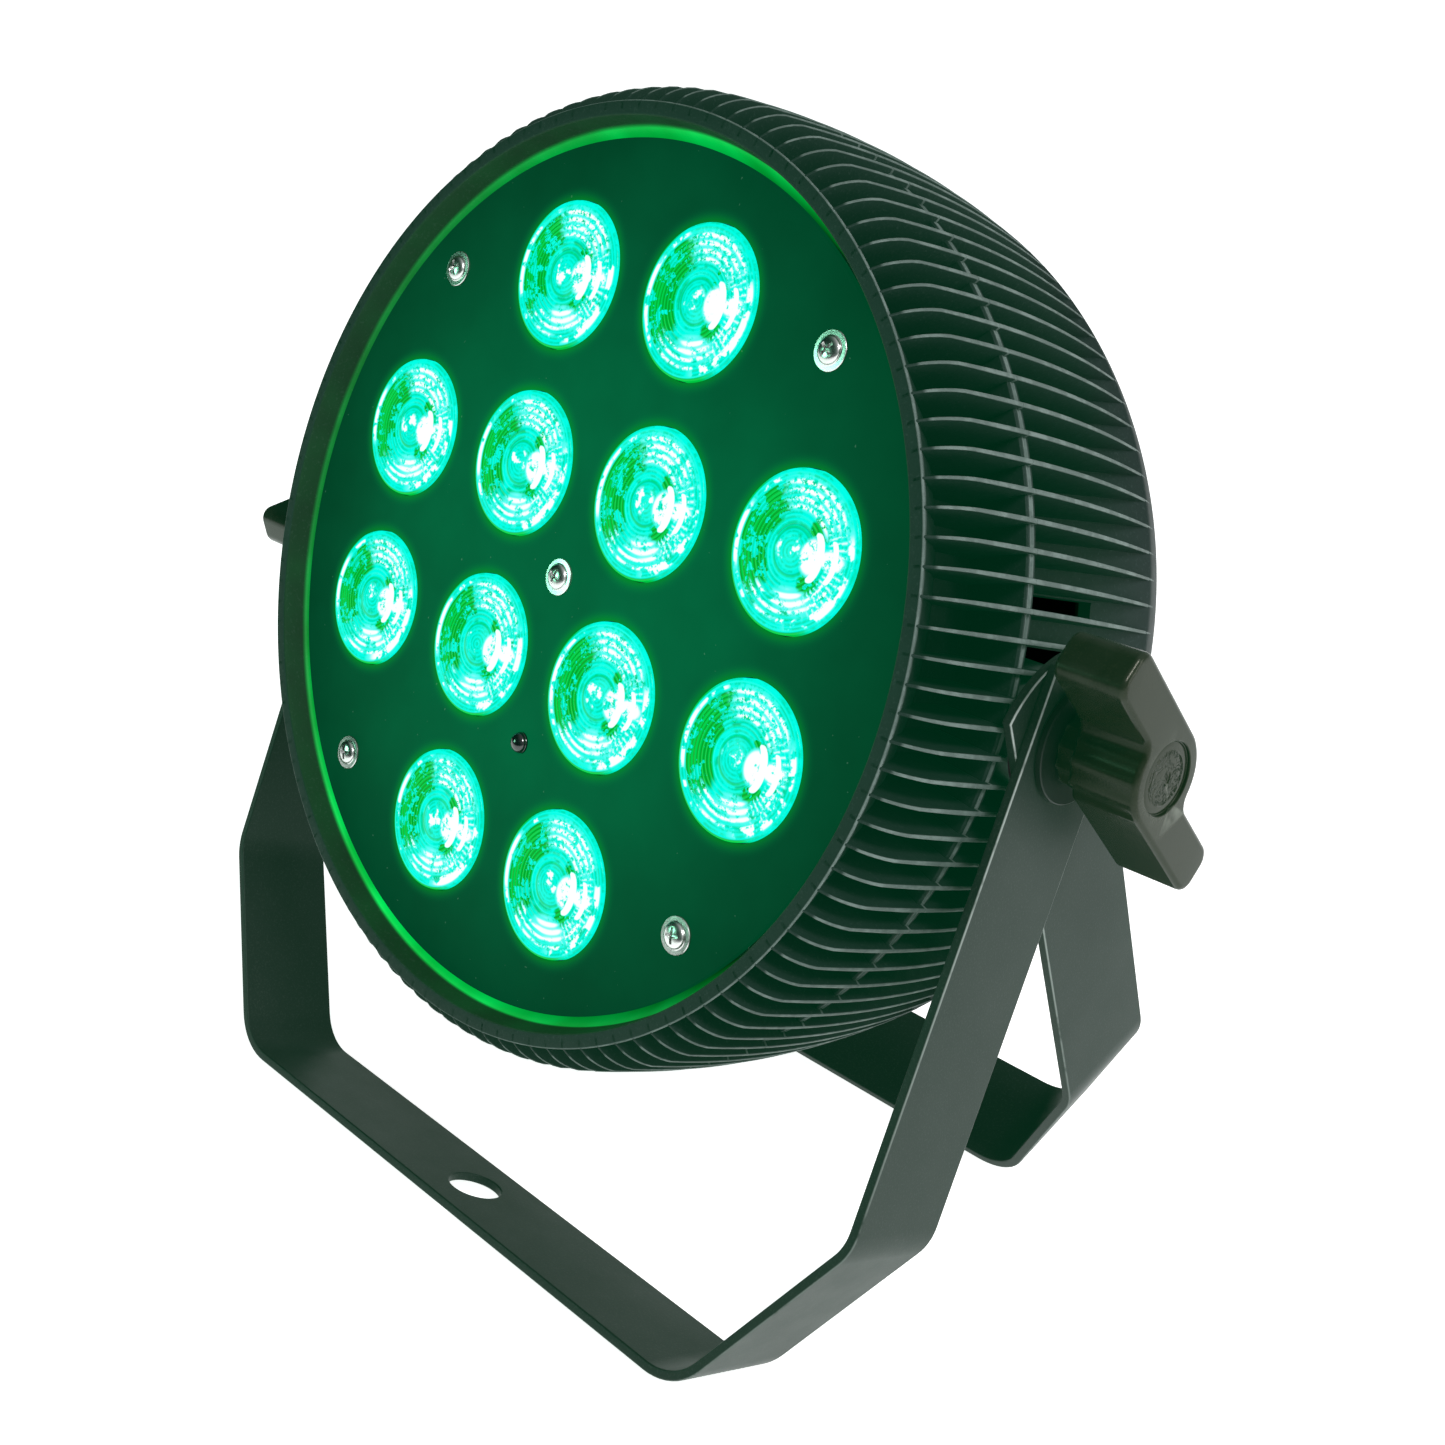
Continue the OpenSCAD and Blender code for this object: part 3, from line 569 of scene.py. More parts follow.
def finned(piece, skin=False):
    """Marks how far out each vertex is between the fins, for the painted highlight on the outermost edges and the
    painted shade deep between them, and how much of the light inside spills on it.
    """
    inverse = HEAD.inverted()
    rim = piece.data.attributes.new("rim", "FLOAT", "POINT")
    glow = piece.data.attributes.new("glow", "FLOAT", "POINT")
    for i, vertex in enumerate(piece.data.vertices):
        p = inverse @ vertex.co
        r = hypot(p.x, p.y)
        under = outline_r(min(max(p.z, LIP_Z), BACK_Z)) - r
        at_flange = abs(p.z - SEAM_Z) < 0.4 and r > FLANGE_R - 0.28
        at_lip = p.z < LIP_Z + 0.42 and r > LIP_R - 0.2
        # rim 1 at the flange's edge, the lip's edge and, off the skin, the fins' outer edges takes a painted
        # highlight; low values deep between the fins take painted shade.
        if at_flange or at_lip or under < 0.12 and not skin:
            rim.data[i].value = 1.0
        else:
            rim.data[i].value = 0.6 if under < 0.45 else 0.5 * max(0.0, 1 - under / 12)
        if p.z < 0.55 and abs(r - between(p.z, LIP_WALL)) < 0.12:
            glow.data[i].value = max(0.025, spill(p.z, degrees(atan2(-p.y, p.x))))


def front_shell():
    b = Build()
    lip = [(LIP_IN + 0.5, LIP_Z), (LIP_R - 0.45, LIP_Z), (LIP_R - 0.15, LIP_Z + 0.1), (LIP_R, LIP_Z + 0.4),
           (LIP_R - 2.2, 0), (LIP_R - 4.4, 4.2), (FLOOR_R + 0.15, 7.7), (FLOOR_R, 8.3)]
    flange = [(FLOOR_R, SEAM_Z - FLANGE_T), (FLANGE_R - 0.3, SEAM_Z - FLANGE_T),
              (FLANGE_R, SEAM_Z - FLANGE_T + 0.25), (FLANGE_R, SEAM_Z - 0.35),
              (FLANGE_R - 0.25, SEAM_Z - SEAM_GAP)]
    inner = [(WALL_R, SEAM_Z - SEAM_GAP), (WALL_R, 9.5), (89.4, 0.5)]
    inner += [(between(z, LIP_WALL), z) for z in (0.1, -0.3, -0.7, -1.2, -1.9, -2.8)]
    inner += [(LIP_IN, LIP_Z + 0.6), (LIP_IN + 0.12, LIP_Z + 0.2)]
    b.revolve(lip + flange + inner, 360, closed=True)
    stations = [LIP_Z, -4.2, -3.4, -2.4, -1.2, 0.2, 2, 4, 6, 8, 11, 14, 17, SEAM_Z - 0.5, SEAM_Z - SEAM_GAP]
    for i in range(FIN_COUNT):
        add_fin(b, i * 360 / FIN_COUNT, stations, FRONT_ROOT,
                lambda z: 0.55 + 0.45 * min(1, (z - LIP_Z) / 18))
    finned(b.object("front_shell_finned", HEAD, "head", "housing", HOUSING, ["front_shell"], 38))


def rear_shell():
    b = Build()
    flange = [(WALL_R, SEAM_Z + SEAM_GAP), (FLANGE_R - 0.25, SEAM_Z + SEAM_GAP), (FLANGE_R, SEAM_Z + 0.35),
              (FLANGE_R, SEAM_Z + FLANGE_T - 0.25), (FLANGE_R - 0.3, SEAM_Z + FLANGE_T),
              (FLOOR_R + 0.4, SEAM_Z + FLANGE_T), (FLOOR_R + 0.4, SEAM_Z + FLANGE_T + 0.4)]
    tail = [(outline_r(z), z) for z in spread(62.5, 82.4, 14)]
    inner = [(84.2, 82.8), (83.8, BACK_Z), (70, BACK_Z), (70, 80.5), (81.5, 80.5), (92, 68), (94.5, 60.5),
             (WALL_R, 26.7), (74.6, 26.7), (74.6, 24.7), (WALL_R, 24.7)]
    b.revolve(flange + tail + inner, 360, closed=True)
    skin = b.object("rear_shell_skin", HEAD, "head", "housing", HOUSING)
    openings = Build()
    for angle in [side + a for side in (0, 180) for a in WINDOW_ANGLES]:
        openings.box(WINDOW_SIZE, (WALL_R + 2, 0, SEAM_Z + 15.5), HEAD @ turned(angle))
    for i in range(TAIL_SLOTS):
        spoke = HEAD @ turned((i + 0.5) * 360 / TAIL_SLOTS) @ Matrix.Translation((88, 0, 75))
        openings.box(TAIL_SLOT_SIZE, (0, 0, 0), spoke @ turned(50, "Y"))
    cut(skin, openings)
    finned(skin, skin=True)
    fins = Build()
    stations = [SEAM_Z + SEAM_GAP, SEAM_Z + 0.5] + spread(22, 62, 10) + [63.5, 64.6, FIN_END_Z]
    before = [z for z in stations if z < PIVOT_DEPTH - BOSS_GAP - 0.5] + [PIVOT_DEPTH - BOSS_GAP]
    behind = [PIVOT_DEPTH + BOSS_GAP] + [z for z in stations if z > PIVOT_DEPTH + BOSS_GAP + 0.5]
    for i in range(FIN_COUNT):
        angle = i * 360 / FIN_COUNT
        off_axis = min(angle % 180, 180 - angle % 180)
        for run in [before, behind] if off_axis < 4 else [stations]:
            add_fin(fins, angle, run, REAR_ROOT, lambda z: 0.6 + 0.4 * min(1, (FIN_END_Z - z) / 30))
    for side in (1, -1):
        boss = Build()
        boss.revolve([(6.05, 84), (11.5, 84), (11.5, 99.6), (11.35, 99.95), (11, 100.1), (6.3, 100.1),
                      (6.05, 99.9)], 72, closed=True)
        fins.join(boss, HEAD.inverted() @ axis_place(side))
    finned(fins.object("rear_shell_fins", HEAD, "head", "housing", HOUSING, ["rear_shell"], 38))


# ---------- front of the head ----------

LENS_PITCH, LENS_R = 39.0, 15.0
LENS_ROWS = (-1.5, -0.5, 0.5, 1.5)
LENS_SPOTS = [(x * LENS_PITCH, y * LENS_PITCH) for y in LENS_ROWS for x in LENS_ROWS if abs(x) + abs(y) < 3]
SCREW_SPOTS = [(0, 0)] + [(x * 55, y * 55) for x in (-1, 1) for y in (-1, 1)]
SCREW_TURNS = [20, 65, -15, 38, 80]
IR_SPOT = (0, 35)
PLATE_R, SCREW_HOLE_R, IR_HOLE_R = 87.5, 1.7, 2.4


def plane_uv(piece, place, scale, layer, center=(0, 0)):
    """A UV layer that holds each point's place in the plane of its local frame."""
    mesh = piece.data
    inverse = place.inverted()
    flat = [inverse @ v.co for v in mesh.vertices]
    uv = mesh.uv_layers.new(name=layer)
    for loop in mesh.loops:
        p = flat[loop.vertex_index]
        uv.data[loop.index].uv = ((p.x - center[0]) / scale, (p.y - center[1]) / scale)


def face_plate():
    b = Build()
    holes = [circle(LENS_R + 0.2, 96, p) for p in LENS_SPOTS]
    holes += [circle(SCREW_HOLE_R, 24, p) for p in SCREW_SPOTS] + [circle(IR_HOLE_R, 32, IR_SPOT)]
    b.slab(circle(PLATE_R, 288), holes, 0, PLATE_T, 0.25, 2, 0.12)
    piece = b.object("face_plate_drilled", HEAD, "head", "face_plate", PLATE, ["face_plate"])
    plane_uv(piece, HEAD, LENS_PITCH, "plate")


def lens_profile():
    """Outwards over the front: a dished middle, fine rings and a rim; then back along the collimator."""
    dish, ring_start, ring_end, ring_pitch = 4.7, 5.4, 13.4, 1.0
    top = [(r, -0.78 + 0.36 * (r / dish) ** 2) for r in spread(0, dish, 6)]
    top += [(4.95, -0.30), (5.2, -0.36)]
    for r in spread(ring_start, ring_end, 48):
        top.append((r, -0.40 - 0.09 * sin(tau * (r - ring_start) / ring_pitch)))
    top += [(13.6, -0.36), (13.8, -0.42), (14.3, -0.46), (14.7, -0.40), (14.92, -0.22), (LENS_R, 0.1)]
    return top + [(LENS_R, 2.5), (14.6, 2.6), (14.0, 2.6), (12.0, 5.2), (9.4, 9.2), (6.4, 13.2), (5.5, 14.0),
                  (3.5, 14.0), (3.4, 10.4), (0, 10.0)]


def lenses():
    for i, spot in enumerate(LENS_SPOTS):
        b = Build()
        b.revolve(lens_profile(), 96, at=spot)
        name = "lens_%02d" % (i + 1)
        piece = b.object(name + "_moulded", HEAD, "head", "lens", LENS, [name], 40)
        plane_uv(piece, HEAD, LENS_R, "disc", spot)


def screw_head(r, height, waist):
    """A screw head about z, its seat at z = 0 and its top at -height, with a cross recess."""
    b = Build()
    rim = 0.36 * height
    dome = height - rim - 0.12
    washer = [(0, 0), (r - 0.1, 0), (r, -0.1), (r, -rim + 0.12), (r - 0.12, -rim),
              (waist + 0.15, -rim - 0.02)]
    top = [(waist * cos(a) ** 0.8, -rim - 0.12 - dome * sin(a)) for a in spread(0, pi / 2, 7)]
    b.revolve(washer + top[:-1] + [(0, -height)], 48)
    head = b.tool()
    wide, deep, half = waist * 0.72, -height * 0.35, waist * 0.13
    for turn in (0, 90):
        arm, slot = turned(turn), Build()
        corners = ((-1, -1), (1, -1), (1, 1), (-1, 1))
        low = slot.add([arm @ Vector((sx * wide * 0.55, sy * half * 0.75, deep)) for sx, sy in corners])
        top = slot.add([arm @ Vector((sx * wide, sy * half, -height - 0.3)) for sx, sy in corners])
        slot.bridge(low, top)
        slot.faces += [tuple(low[::-1]), tuple(top)]
        cut(head, slot)
    out = Build()
    out.verts = [tuple(v.co) for v in head.data.vertices]
    out.faces = [tuple(p.vertices) for p in head.data.polygons]
    bpy.data.objects.remove(head)
    return out


def shank(r, length, pitch=0.5):
    """A short threaded shank along +z."""
    rod = Build()
    count = ceil((length - 0.3) * 2 / pitch)
    thread = [(r if i % 2 else r * 0.84, i * pitch / 2) for i in range(count)]
    rod.revolve([(0, 0), (r * 0.85, 0)] + thread + [(r * 0.5, length), (0, length)], 20)
    return rod


def screws(name, spots, head, r_shank, length, node):
    """spots are matrices in the head frame, each at a screw's seat with z along its shank."""
    b = Build()
    for m in spots:
        b.join(head, m)
        b.join(shank(r_shank, length), m)
    b.object(name, HEAD, "head", "nickel_screw", NICKEL, [node], 32)


def seat(x, y, z, turn=0.0, flip=False):
    m = Matrix.Translation((x, y, z)) @ turned(turn)
    return m @ turned(180, "X") if flip else m


def face_screws():
    spots = [seat(x, y, 0, turn) for (x, y), turn in zip(SCREW_SPOTS, SCREW_TURNS)]
    screws("face_screws_panhead", spots, screw_head(3.75, 1.75, 2.65), 1.45, 7, "face_screws")


def ir_receiver():
    b = Build()
    dome = [(2.1 * cos(a), -0.2 - 1.5 * sin(a)) for a in spread(0, pi / 2, 8)[:-1]]
    b.revolve([(0, 11.9), (2.2, 11.9), (2.2, 0.3), (2.18, -0.1)] + dome + [(0, -1.7)], 48, at=IR_SPOT)
    b.box((6, 6, 6), (*IR_SPOT, 15))
    b.object("ir_receiver_dome", HEAD, "head", "dark_lens", DARK_LENS, ["ir_receiver"])


# ---------- brackets ----------

STRIP_W, STRIP_T = 25.0, 2.0
ARM_OVER, ARM_END_R = 16.0, 22.0
BEND_R = (10.0, 13.0)
STRIP_EDGE = 0.35
PIVOT_HOLE_R, BAR_HOLE_R = 4.05, 6.0


class Strip:
    """The centre line of a bracket, from the middle of its bar (s = 0) to an arm's end."""

    def __init__(self, half, arm, bar, reach):
        slant = atan2(half - bar, reach - arm)
        r1, r2 = BEND_R[0] + STRIP_T, BEND_R[1] + STRIP_T
        t1, t2 = pi / 2 - slant, slant
        cut1, cut2 = r1 * tan(slant / 2), r2 * tan(t1 / 2)
        m1, m2 = r1 - STRIP_T / 2, r2 - STRIP_T / 2
        flat = hypot(half - bar, reach - arm) - cut1 - cut2
        self.parts, s = [], 0.0
        for kind, length, data in (("line", bar - cut2, None),
                                   ("bend", m2 * t1, ((bar - cut2, reach - r2), r2, 0.0, t1)),
                                   ("line", flat, None),
                                   ("bend", m1 * t2, ((half - r1, arm - cut1), r1, t1, t2)),
                                   ("line", arm - cut1 + ARM_OVER, None)):
            self.parts.append((s, s + length, kind, data))
            s += length
        self.length = s
        self.lines = [(0.0, reach, 0.0)]
        for part, angle in ((1, t1), (3, t1 + t2)):
            c, r, _, _ = self.parts[part][3]
            self.lines.append((c[0] + r * sin(angle), c[1] + r * cos(angle), angle))

    def point(self, s, depth):
        """(x, y) of the point at s along the strip and depth under its outer face."""
        sign, s = (1 if s >= 0 else -1), abs(s)
        for k, (a, b, kind, data) in enumerate(self.parts):
            if s <= b or k == len(self.parts) - 1:
                break
        if kind == "bend":
            c, r, a0, turn = data
            angle = a0 + turn * (s - a) / (b - a)
            x, y = c[0] + (r - depth) * sin(angle), c[1] + (r - depth) * cos(angle)
        else:
            x0, y0, angle = self.lines[k // 2]
            x = x0 + (s - a) * cos(angle) - depth * sin(angle)
            y = y0 - (s - a) * sin(angle) - depth * cos(angle)
        return sign * x, y

    def stops(self):
        return [s for a, b, kind, _ in self.parts if kind == "bend" for s in spread(a, b, 10)]


def bracket(name, strip, place, body, node):
    """The flat strip with its holes, bent along its centre line; its rounded edges are marked for a painted
    highlight, strongest on the arcs at the arm ends.
    """
    s_pivot, half = strip.length - ARM_OVER, STRIP_W / 2
    tip_centre = s_pivot - (ARM_END_R - ARM_OVER)
    half_angle = degrees(asin(half / ARM_END_R))
    stops = strip.stops()
    right = [(s, -half) for s in stops]
    right += arc((tip_centre, 0), ARM_END_R, -half_angle, half_angle, 36) + [(s, half) for s in stops[::-1]]
    outer = right + [(-x, -y) for x, y in right]
    holes = [circle(PIVOT_HOLE_R, 40, (s_pivot, 0)), circle(PIVOT_HOLE_R, 40, (-s_pivot, 0)),
             circle(BAR_HOLE_R, 56, (0, 0))]
    n = len(right)
    folds = [(i, n - 1 - i) for i in range(len(stops))]
    b = Build()
    b.slab(outer, holes, 0, STRIP_T, STRIP_EDGE, extra_edges=folds + [(n + i, n + j) for i, j in folds])

    def warp(v):
        x, y = strip.point(v[0], v[2])
        return (x, y, v[1])
    piece = b.object(name, place, body, "bracket", BRACKET, [node], 30, warp)
    flat = kdtree.KDTree(len(b.verts))
    for i, v in enumerate(b.verts):
        flat.insert(place @ Vector(warp(v)), i)
    flat.balance()
    # rim marks the painted highlight: 1 on the arcs at the arm ends, 0.3 along the other rounded edges.
    rim = piece.data.attributes.new("rim", "FLOAT", "POINT")
    for i, vertex in enumerate(piece.data.vertices):
        s, across, depth = b.verts[flat.find(vertex.co)[1]]
        if 0.02 < depth < 0.2:
            tip_r = hypot(abs(s) - tip_centre, across)
            at_tip = abs(s) > s_pivot and tip_r > ARM_END_R - STRIP_EDGE
            rim.data[i].value = 1.0 if at_tip else 0.3


# ---------- knobs ----------

KNOB_SPAN, KNOB_H, WING_W, WING_H, HUB_R = 54.0, 18.0, 9.5, 14.0, 9.5
KNOB_Z, KNOB_EDGE, KNOB_CORNER_R = 106.55, 1.1, 3
BOLT_R, BOLT_END_Z = 3.95, 86.1
STEM_R, STEM_RIBS = 7.2, 12
WASHER_R, WASHER_HOLE_R, WASHER_Z = 11, 4.05, (105.07, 106.48)


def knob_outline(flute):
    """Seen from outside; flute is the depth of the grooves round the hub."""
    c = KNOB_CORNER_R
    fillet = sqrt((HUB_R + c) ** 2 - c ** 2)
    hub_end = -degrees(atan2(c, fillet))
    half = arc((fillet, -c), c, 90, 180 + hub_end, 7)
    for i in range(1, 25):
        a = radians(hub_end + (-90 - hub_end) * i / 24)
        r = HUB_R - flute * sin(pi * 3 * i / 24) ** 2
        half.append((r * cos(a), r * sin(a)))
    tip = KNOB_SPAN / 2
    half += [(-x, -WING_W) for x in spread(4, tip - c, 5)][:-1]
    half += arc((-tip + c, -WING_W + c), c, 270, 180, 7)
    half += arc((-tip + c, -c), c, 180, 90, 7)
    half += [(-x, 0) for x in spread(tip - c, fillet, 4)][1:-1]
    return [(x, -y) for x, y in half] + [(-x, y) for x, y in half]


def stem_ring(grow):
    ring = []
    for i in range(60):
        a = tau * i / 60
        r = (STEM_R + 0.45 * max(0.0, cos(a * STEM_RIBS)) ** 0.5) * grow
        ring.append((r * cos(a), r * sin(a)))
    return ring


def knob(side, name, turn):
    """A hub with two wings set off to opposite sides, over a ribbed stem, with its bolt and its washer."""
    place = axis_place(side, turn)
    z0, z1 = KNOB_Z, KNOB_Z + KNOB_H
    wing0 = z1 - WING_H
    b = Build()
    top, base = knob_outline(0.0), knob_outline(0.7)
    low = b.cap([shrink(base, KNOB_EDGE), circle(7.6, 60)], wing0, False)
    high = b.cap([shrink(top, KNOB_EDGE), circle(6.9, 64)], z1, True)
    b.wall(low[0], high[0], wing0, z1, KNOB_EDGE, 4, base, top)
    stem = [(0.97, wing0 - 0.3), (0.97, z0 + 0.8), (0.95, z0 + 0.25), (0.90, z0)]
    rings = [low[1], b.ring(circle(7.6, 60), wing0)] + [b.ring(stem_ring(grow), z) for grow, z in stem]
    rings += [b.ring(circle(4.0, 60), z) for z in (z0, z0 + 4)]
    b.loft(rings)
    b.faces.append(tuple(rings[-1]))
    recess = [(6.75, 0.12), (6.7, 0.55), (6.55, 0.62), (6.2, 0.5), (5.6, 0.44), (3, 0.36), (1.4, 0.34),
              (1.2, 0.5), (0.9, 0.52)]
    rings = [high[1]] + [b.ring(circle(r, 64), z1 - depth) for r, depth in recess]
    b.loft(rings)
    b.faces.append(tuple(rings[-1]))
    body = "knob_" + name
    piece = b.object(body + "_winged", place, body, "knob_plastic", KNOB, [body], 30)
    plane_uv(piece, place, 6.7, "cap")
    bolt = Build()
    bolt.revolve([(0, BOLT_END_Z), (BOLT_R - 0.45, BOLT_END_Z), (BOLT_R, BOLT_END_Z + 0.5), (BOLT_R, z0 + 8),
                  (0, z0 + 8)], 40)
    node = "knob_bolt_" + name
    bolt.object(node + "_turned", place, body, "zinc_steel", BLACK_STEEL, [node])
    washer = Build()
    r, hole, (inner, outer) = WASHER_R, WASHER_HOLE_R, WASHER_Z
    rim = [(r - 0.2, inner), (r, inner + 0.18), (r, outer - 0.18), (r - 0.2, outer)]
    bore = [(hole + 0.15, outer), (hole, outer - 0.18), (hole, inner + 0.18), (hole + 0.15, inner)]
    washer.revolve(rim + bore, 72, closed=True)
    node = "knob_washer_" + name
    washer.object(node + "_turned", place, "washer_" + name, "zinc_steel", BLACK_STEEL, [node])


# ---------- back of the head ----------

BUTTONS, BUTTON_PITCH, BUTTON_Y, BUTTON_R = ("menu", "up", "down", "enter"), 15, -19, 3.0
DISPLAY_W, DISPLAY_H, DISPLAY_Y = 50, 22, -42
DIGIT_PITCH, DIGIT_HALF_W, DIGIT_HALF_H = 11, 2.9, 5.6
SEGMENTS = {"a": (0, -1), "b": (1, -0.5), "c": (1, 0.5), "d": (0, 1), "e": (-1, 0.5), "f": (-1, -0.5),
            "g": (0, 0)}
LIT_SEGMENTS = {"0": "abcdef", "1": "bc", "d": "bcdeg"}
DMX_X, DMX_Y, DMX_W, DMX_H, DMX_T = 42, 12, 26, 31, 2
DMX_SCREWS = ((-9.5, 12), (9.5, -12))
DMX_BODY_R, DMX_DEPTH, PIN_CIRCLE_R = 11.8, 20, 3.6
DMX_FACE = BACK_FACE + DMX_T
PANEL_SCREW_R = 75


def button(i, name):
    b = Build()
    r, top = BUTTON_R, BACK_FACE + 1.6
    b.revolve([(0, BACK_Z - 3), (r + 1, BACK_Z - 3), (r + 1, BACK_Z - 2), (r, BACK_Z - 2), (r, top - 0.45),
               (r - 0.13, top - 0.13), (r - 0.45, top), (r - 0.9, top - 0.03), (0, top - 0.18)], 48,
              at=((i - 1.5) * BUTTON_PITCH, BUTTON_Y))
    b.object("button_%s_cap" % name, HEAD, "button_" + name, "button", BUTTON, ["button_" + name])


def display():
    """The window in its frame, and lit digits on it; x runs to the left when seen from behind."""
    b = Build()
    w, h, y = DISPLAY_W, DISPLAY_H, DISPLAY_Y
    opening = rounded_rect(w - 4, h - 4, 0.8, (0, y))
    b.slab(rounded_rect(w + 4, h + 4, 1.5, (0, y)), [opening], BACK_FACE, BACK_FACE + 0.5, 0.2)
    b.slab(rounded_rect(w - 0.4, h - 0.4, 0.8, (0, y)), [], BACK_Z, BACK_FACE + 0.1, 0.1)
    b.object("display_window_framed", HEAD, "head", "display_glass", DISPLAY, ["display_window"])
    digits = Build()
    z = BACK_FACE + 0.12
    for k, digit in enumerate("d001"):
        for sx, sy in (SEGMENTS[segment] for segment in LIT_SEGMENTS[digit]):
            across, tall = (1.1, 4.6) if sx else (4.2, 1.1)
            spot = (-((k - 1.5) * DIGIT_PITCH + sx * DIGIT_HALF_W), y + sy * DIGIT_HALF_H)
            digits.slab(rounded_rect(across, tall, 0.4, spot, 2), [], z, z + 0.15, 0.04, 1)
    digits.object("display_digits", HEAD, "head", "display_glass", DIGITS)


def dmx_socket(side, name, node):
    """A round socket with three contacts. On side -1 it has pins and on side 1 it has holes."""
    at, sunk = (side * DMX_X, DMX_Y), DMX_FACE - 14
    spots = [(at[0] + PIN_CIRCLE_R * cos(a), at[1] + PIN_CIRCLE_R * sin(a))
             for a in (radians(30), radians(150), radians(270))]
    b = Build()
    bore, sides = (8, 64) if side < 0 else (9.4, 72)
    holes = [circle(bore, sides, at)] + [circle(1.6, 24, (at[0] + x, at[1] + y)) for x, y in DMX_SCREWS]
    b.slab(rounded_rect(DMX_W, DMX_H, 2.2, at), holes, BACK_FACE, DMX_FACE, 0.35, 3, 0.2)
    b.revolve([(bore, BACK_FACE), (DMX_BODY_R, BACK_FACE), (DMX_BODY_R, BACK_FACE - DMX_DEPTH),
               (0, BACK_FACE - DMX_DEPTH)], 64, at=at)
    if side < 0:
        b.revolve([(bore, BACK_FACE + 0.4), (bore, sunk), (0, sunk)], sides, at=at)
        for spot in spots:
            tip = [(1.05, DMX_FACE - 3.4), (0.6, DMX_FACE - 3), (0, DMX_FACE - 2.9)]
            b.revolve([(1.2, BACK_FACE - 12.5), (1.2, DMX_FACE - 4)] + tip, 24, at=spot)
    else:
        core = 7.4
        b.revolve([(bore, BACK_FACE + 0.4), (bore, sunk), (core, sunk), (core, DMX_FACE - 0.9),
                   (core - 0.15, DMX_FACE - 0.55), (core - 0.5, DMX_FACE - 0.4)], sides, at=at)
        contacts = [circle(1.3, 24, spot) for spot in spots]
        b.cap([circle(core - 0.5, sides, at)] + contacts, DMX_FACE - 0.4, True)
        for contact in contacts:
            top, low = b.ring(contact, DMX_FACE - 0.4), b.ring(contact, DMX_FACE - 11)
            b.bridge(top, low)
            b.faces.append(tuple(low))
    b.object(name, HEAD, "head", "socket_plastic", SOCKET, [node])


def latch():
    b = Build()
    b.slab(rounded_rect(6.6, 2.2, 0.6, (DMX_X, DMX_Y - 10.1)), [], DMX_FACE - 13, DMX_FACE + 2.5, 0.4)
    b.object("dmx_out_latch_tab", HEAD, "dmx_out_latch", "latch_metal", ZINC, ["dmx_out_latch"])


def small_screws():
    spots = [seat(side * DMX_X + x, DMX_Y + y, DMX_FACE, 30 * x, True)
             for side in (-1, 1) for x, y in DMX_SCREWS]
    spots += [seat(side * 20, 43, BACK_FACE + 2.5, 25 * side, True) for side in (-1, 1)]
    screws("socket_screws_panhead", spots, screw_head(2.5, 1.4, 2.5), 1.2, 7, "socket_screws")
    spots = []
    for a in range(30, 360, 60):
        t = radians(a)
        spots.append(seat(PANEL_SCREW_R * cos(t), PANEL_SCREW_R * sin(t), BACK_FACE, 37 * a, True))
    screws("panel_screws_panhead", spots, screw_head(2.75, 1.6, 2.7), 1.2, 6, "panel_screws")


def keep(names, material, bevel=0.0):
    """CAD nodes that already have the right shape, with their edges broken and a better material."""
    for name in names:
        piece = frame["nodes"][name]
        piece.data.materials.clear()
        piece.data.materials.append(material)
        if bevel:
            weld = piece.modifiers.new("weld", "WELD")
            weld.merge_threshold = 0.005 * MM
            edges = piece.modifiers.new("edges", "BEVEL")
            edges.width, edges.segments, edges.limit_method = bevel * MM, 2, "ANGLE"
            edges.angle_limit = radians(42)


# ---------- the finishes ----------

def housing_material():
    m = Paint("housing_powder_coat")
    rim = m.attribute("rim")
    peel = m.noise(1500, 3, 0.6)
    cloud = m.noise(30, 4, 0.6)
    paint = m.ramp(cloud, [(0.3, (0.0080, 0.0115, 0.0125)), (0.72, (0.0125, 0.0170, 0.0180))])
    # Painted shade: deep between the fins, where rim is low, the paint turns a darker teal.
    deep = m.mix(m.step(rim, 0.50, 0.05), paint, (0.0080, 0.0130, 0.0135))
    color = m.mix(m.times(m.step(peel, 0.56, 0.70), 0.35), deep, (0.036, 0.048, 0.048))
    # Painted highlight: where rim is high, on the flange's edge, the lip's edge and the fins' outer edges, the
    # paint lightens to grey-green in broken streaks.
    patchy = m.fit(m.step(m.noise(210, 3, 0.7), 0.42, 0.66), 0.4, 0.6)
    edge = m.times(m.step(rim, 0.66, 0.95), patchy, 0.7)
    color = m.mix(edge, color, (0.19, 0.23, 0.22))
    lit = m.attribute("glow")
    spill_color = m.ramp(m.noise(70, 2), [(0.35, (0.0, 0.62, 0.06)), (0.7, (0.0, 1.0, 0.13))])
    start = HEAD.translation.dot(BACK)
    fade = m.fit(m.step(m.along(m.at, BACK), start + 78 * MM, start + 45 * MM), 0.85, 0.15)
    rough = m.fit(m.noise(300, 3, 0.6), 0.2, 0.46)
    return m.finish(color, rough, specular=0.14, specular_tint=COAT_TINT,
                    normal=m.bump(peel, 0.5, 0.08 * MM), emission_strength=m.fit(fade, CAST, lit),
                    emission_color=m.mix(m.step(lit, 0.0, 0.02), CAST_COLOR, spill_color))


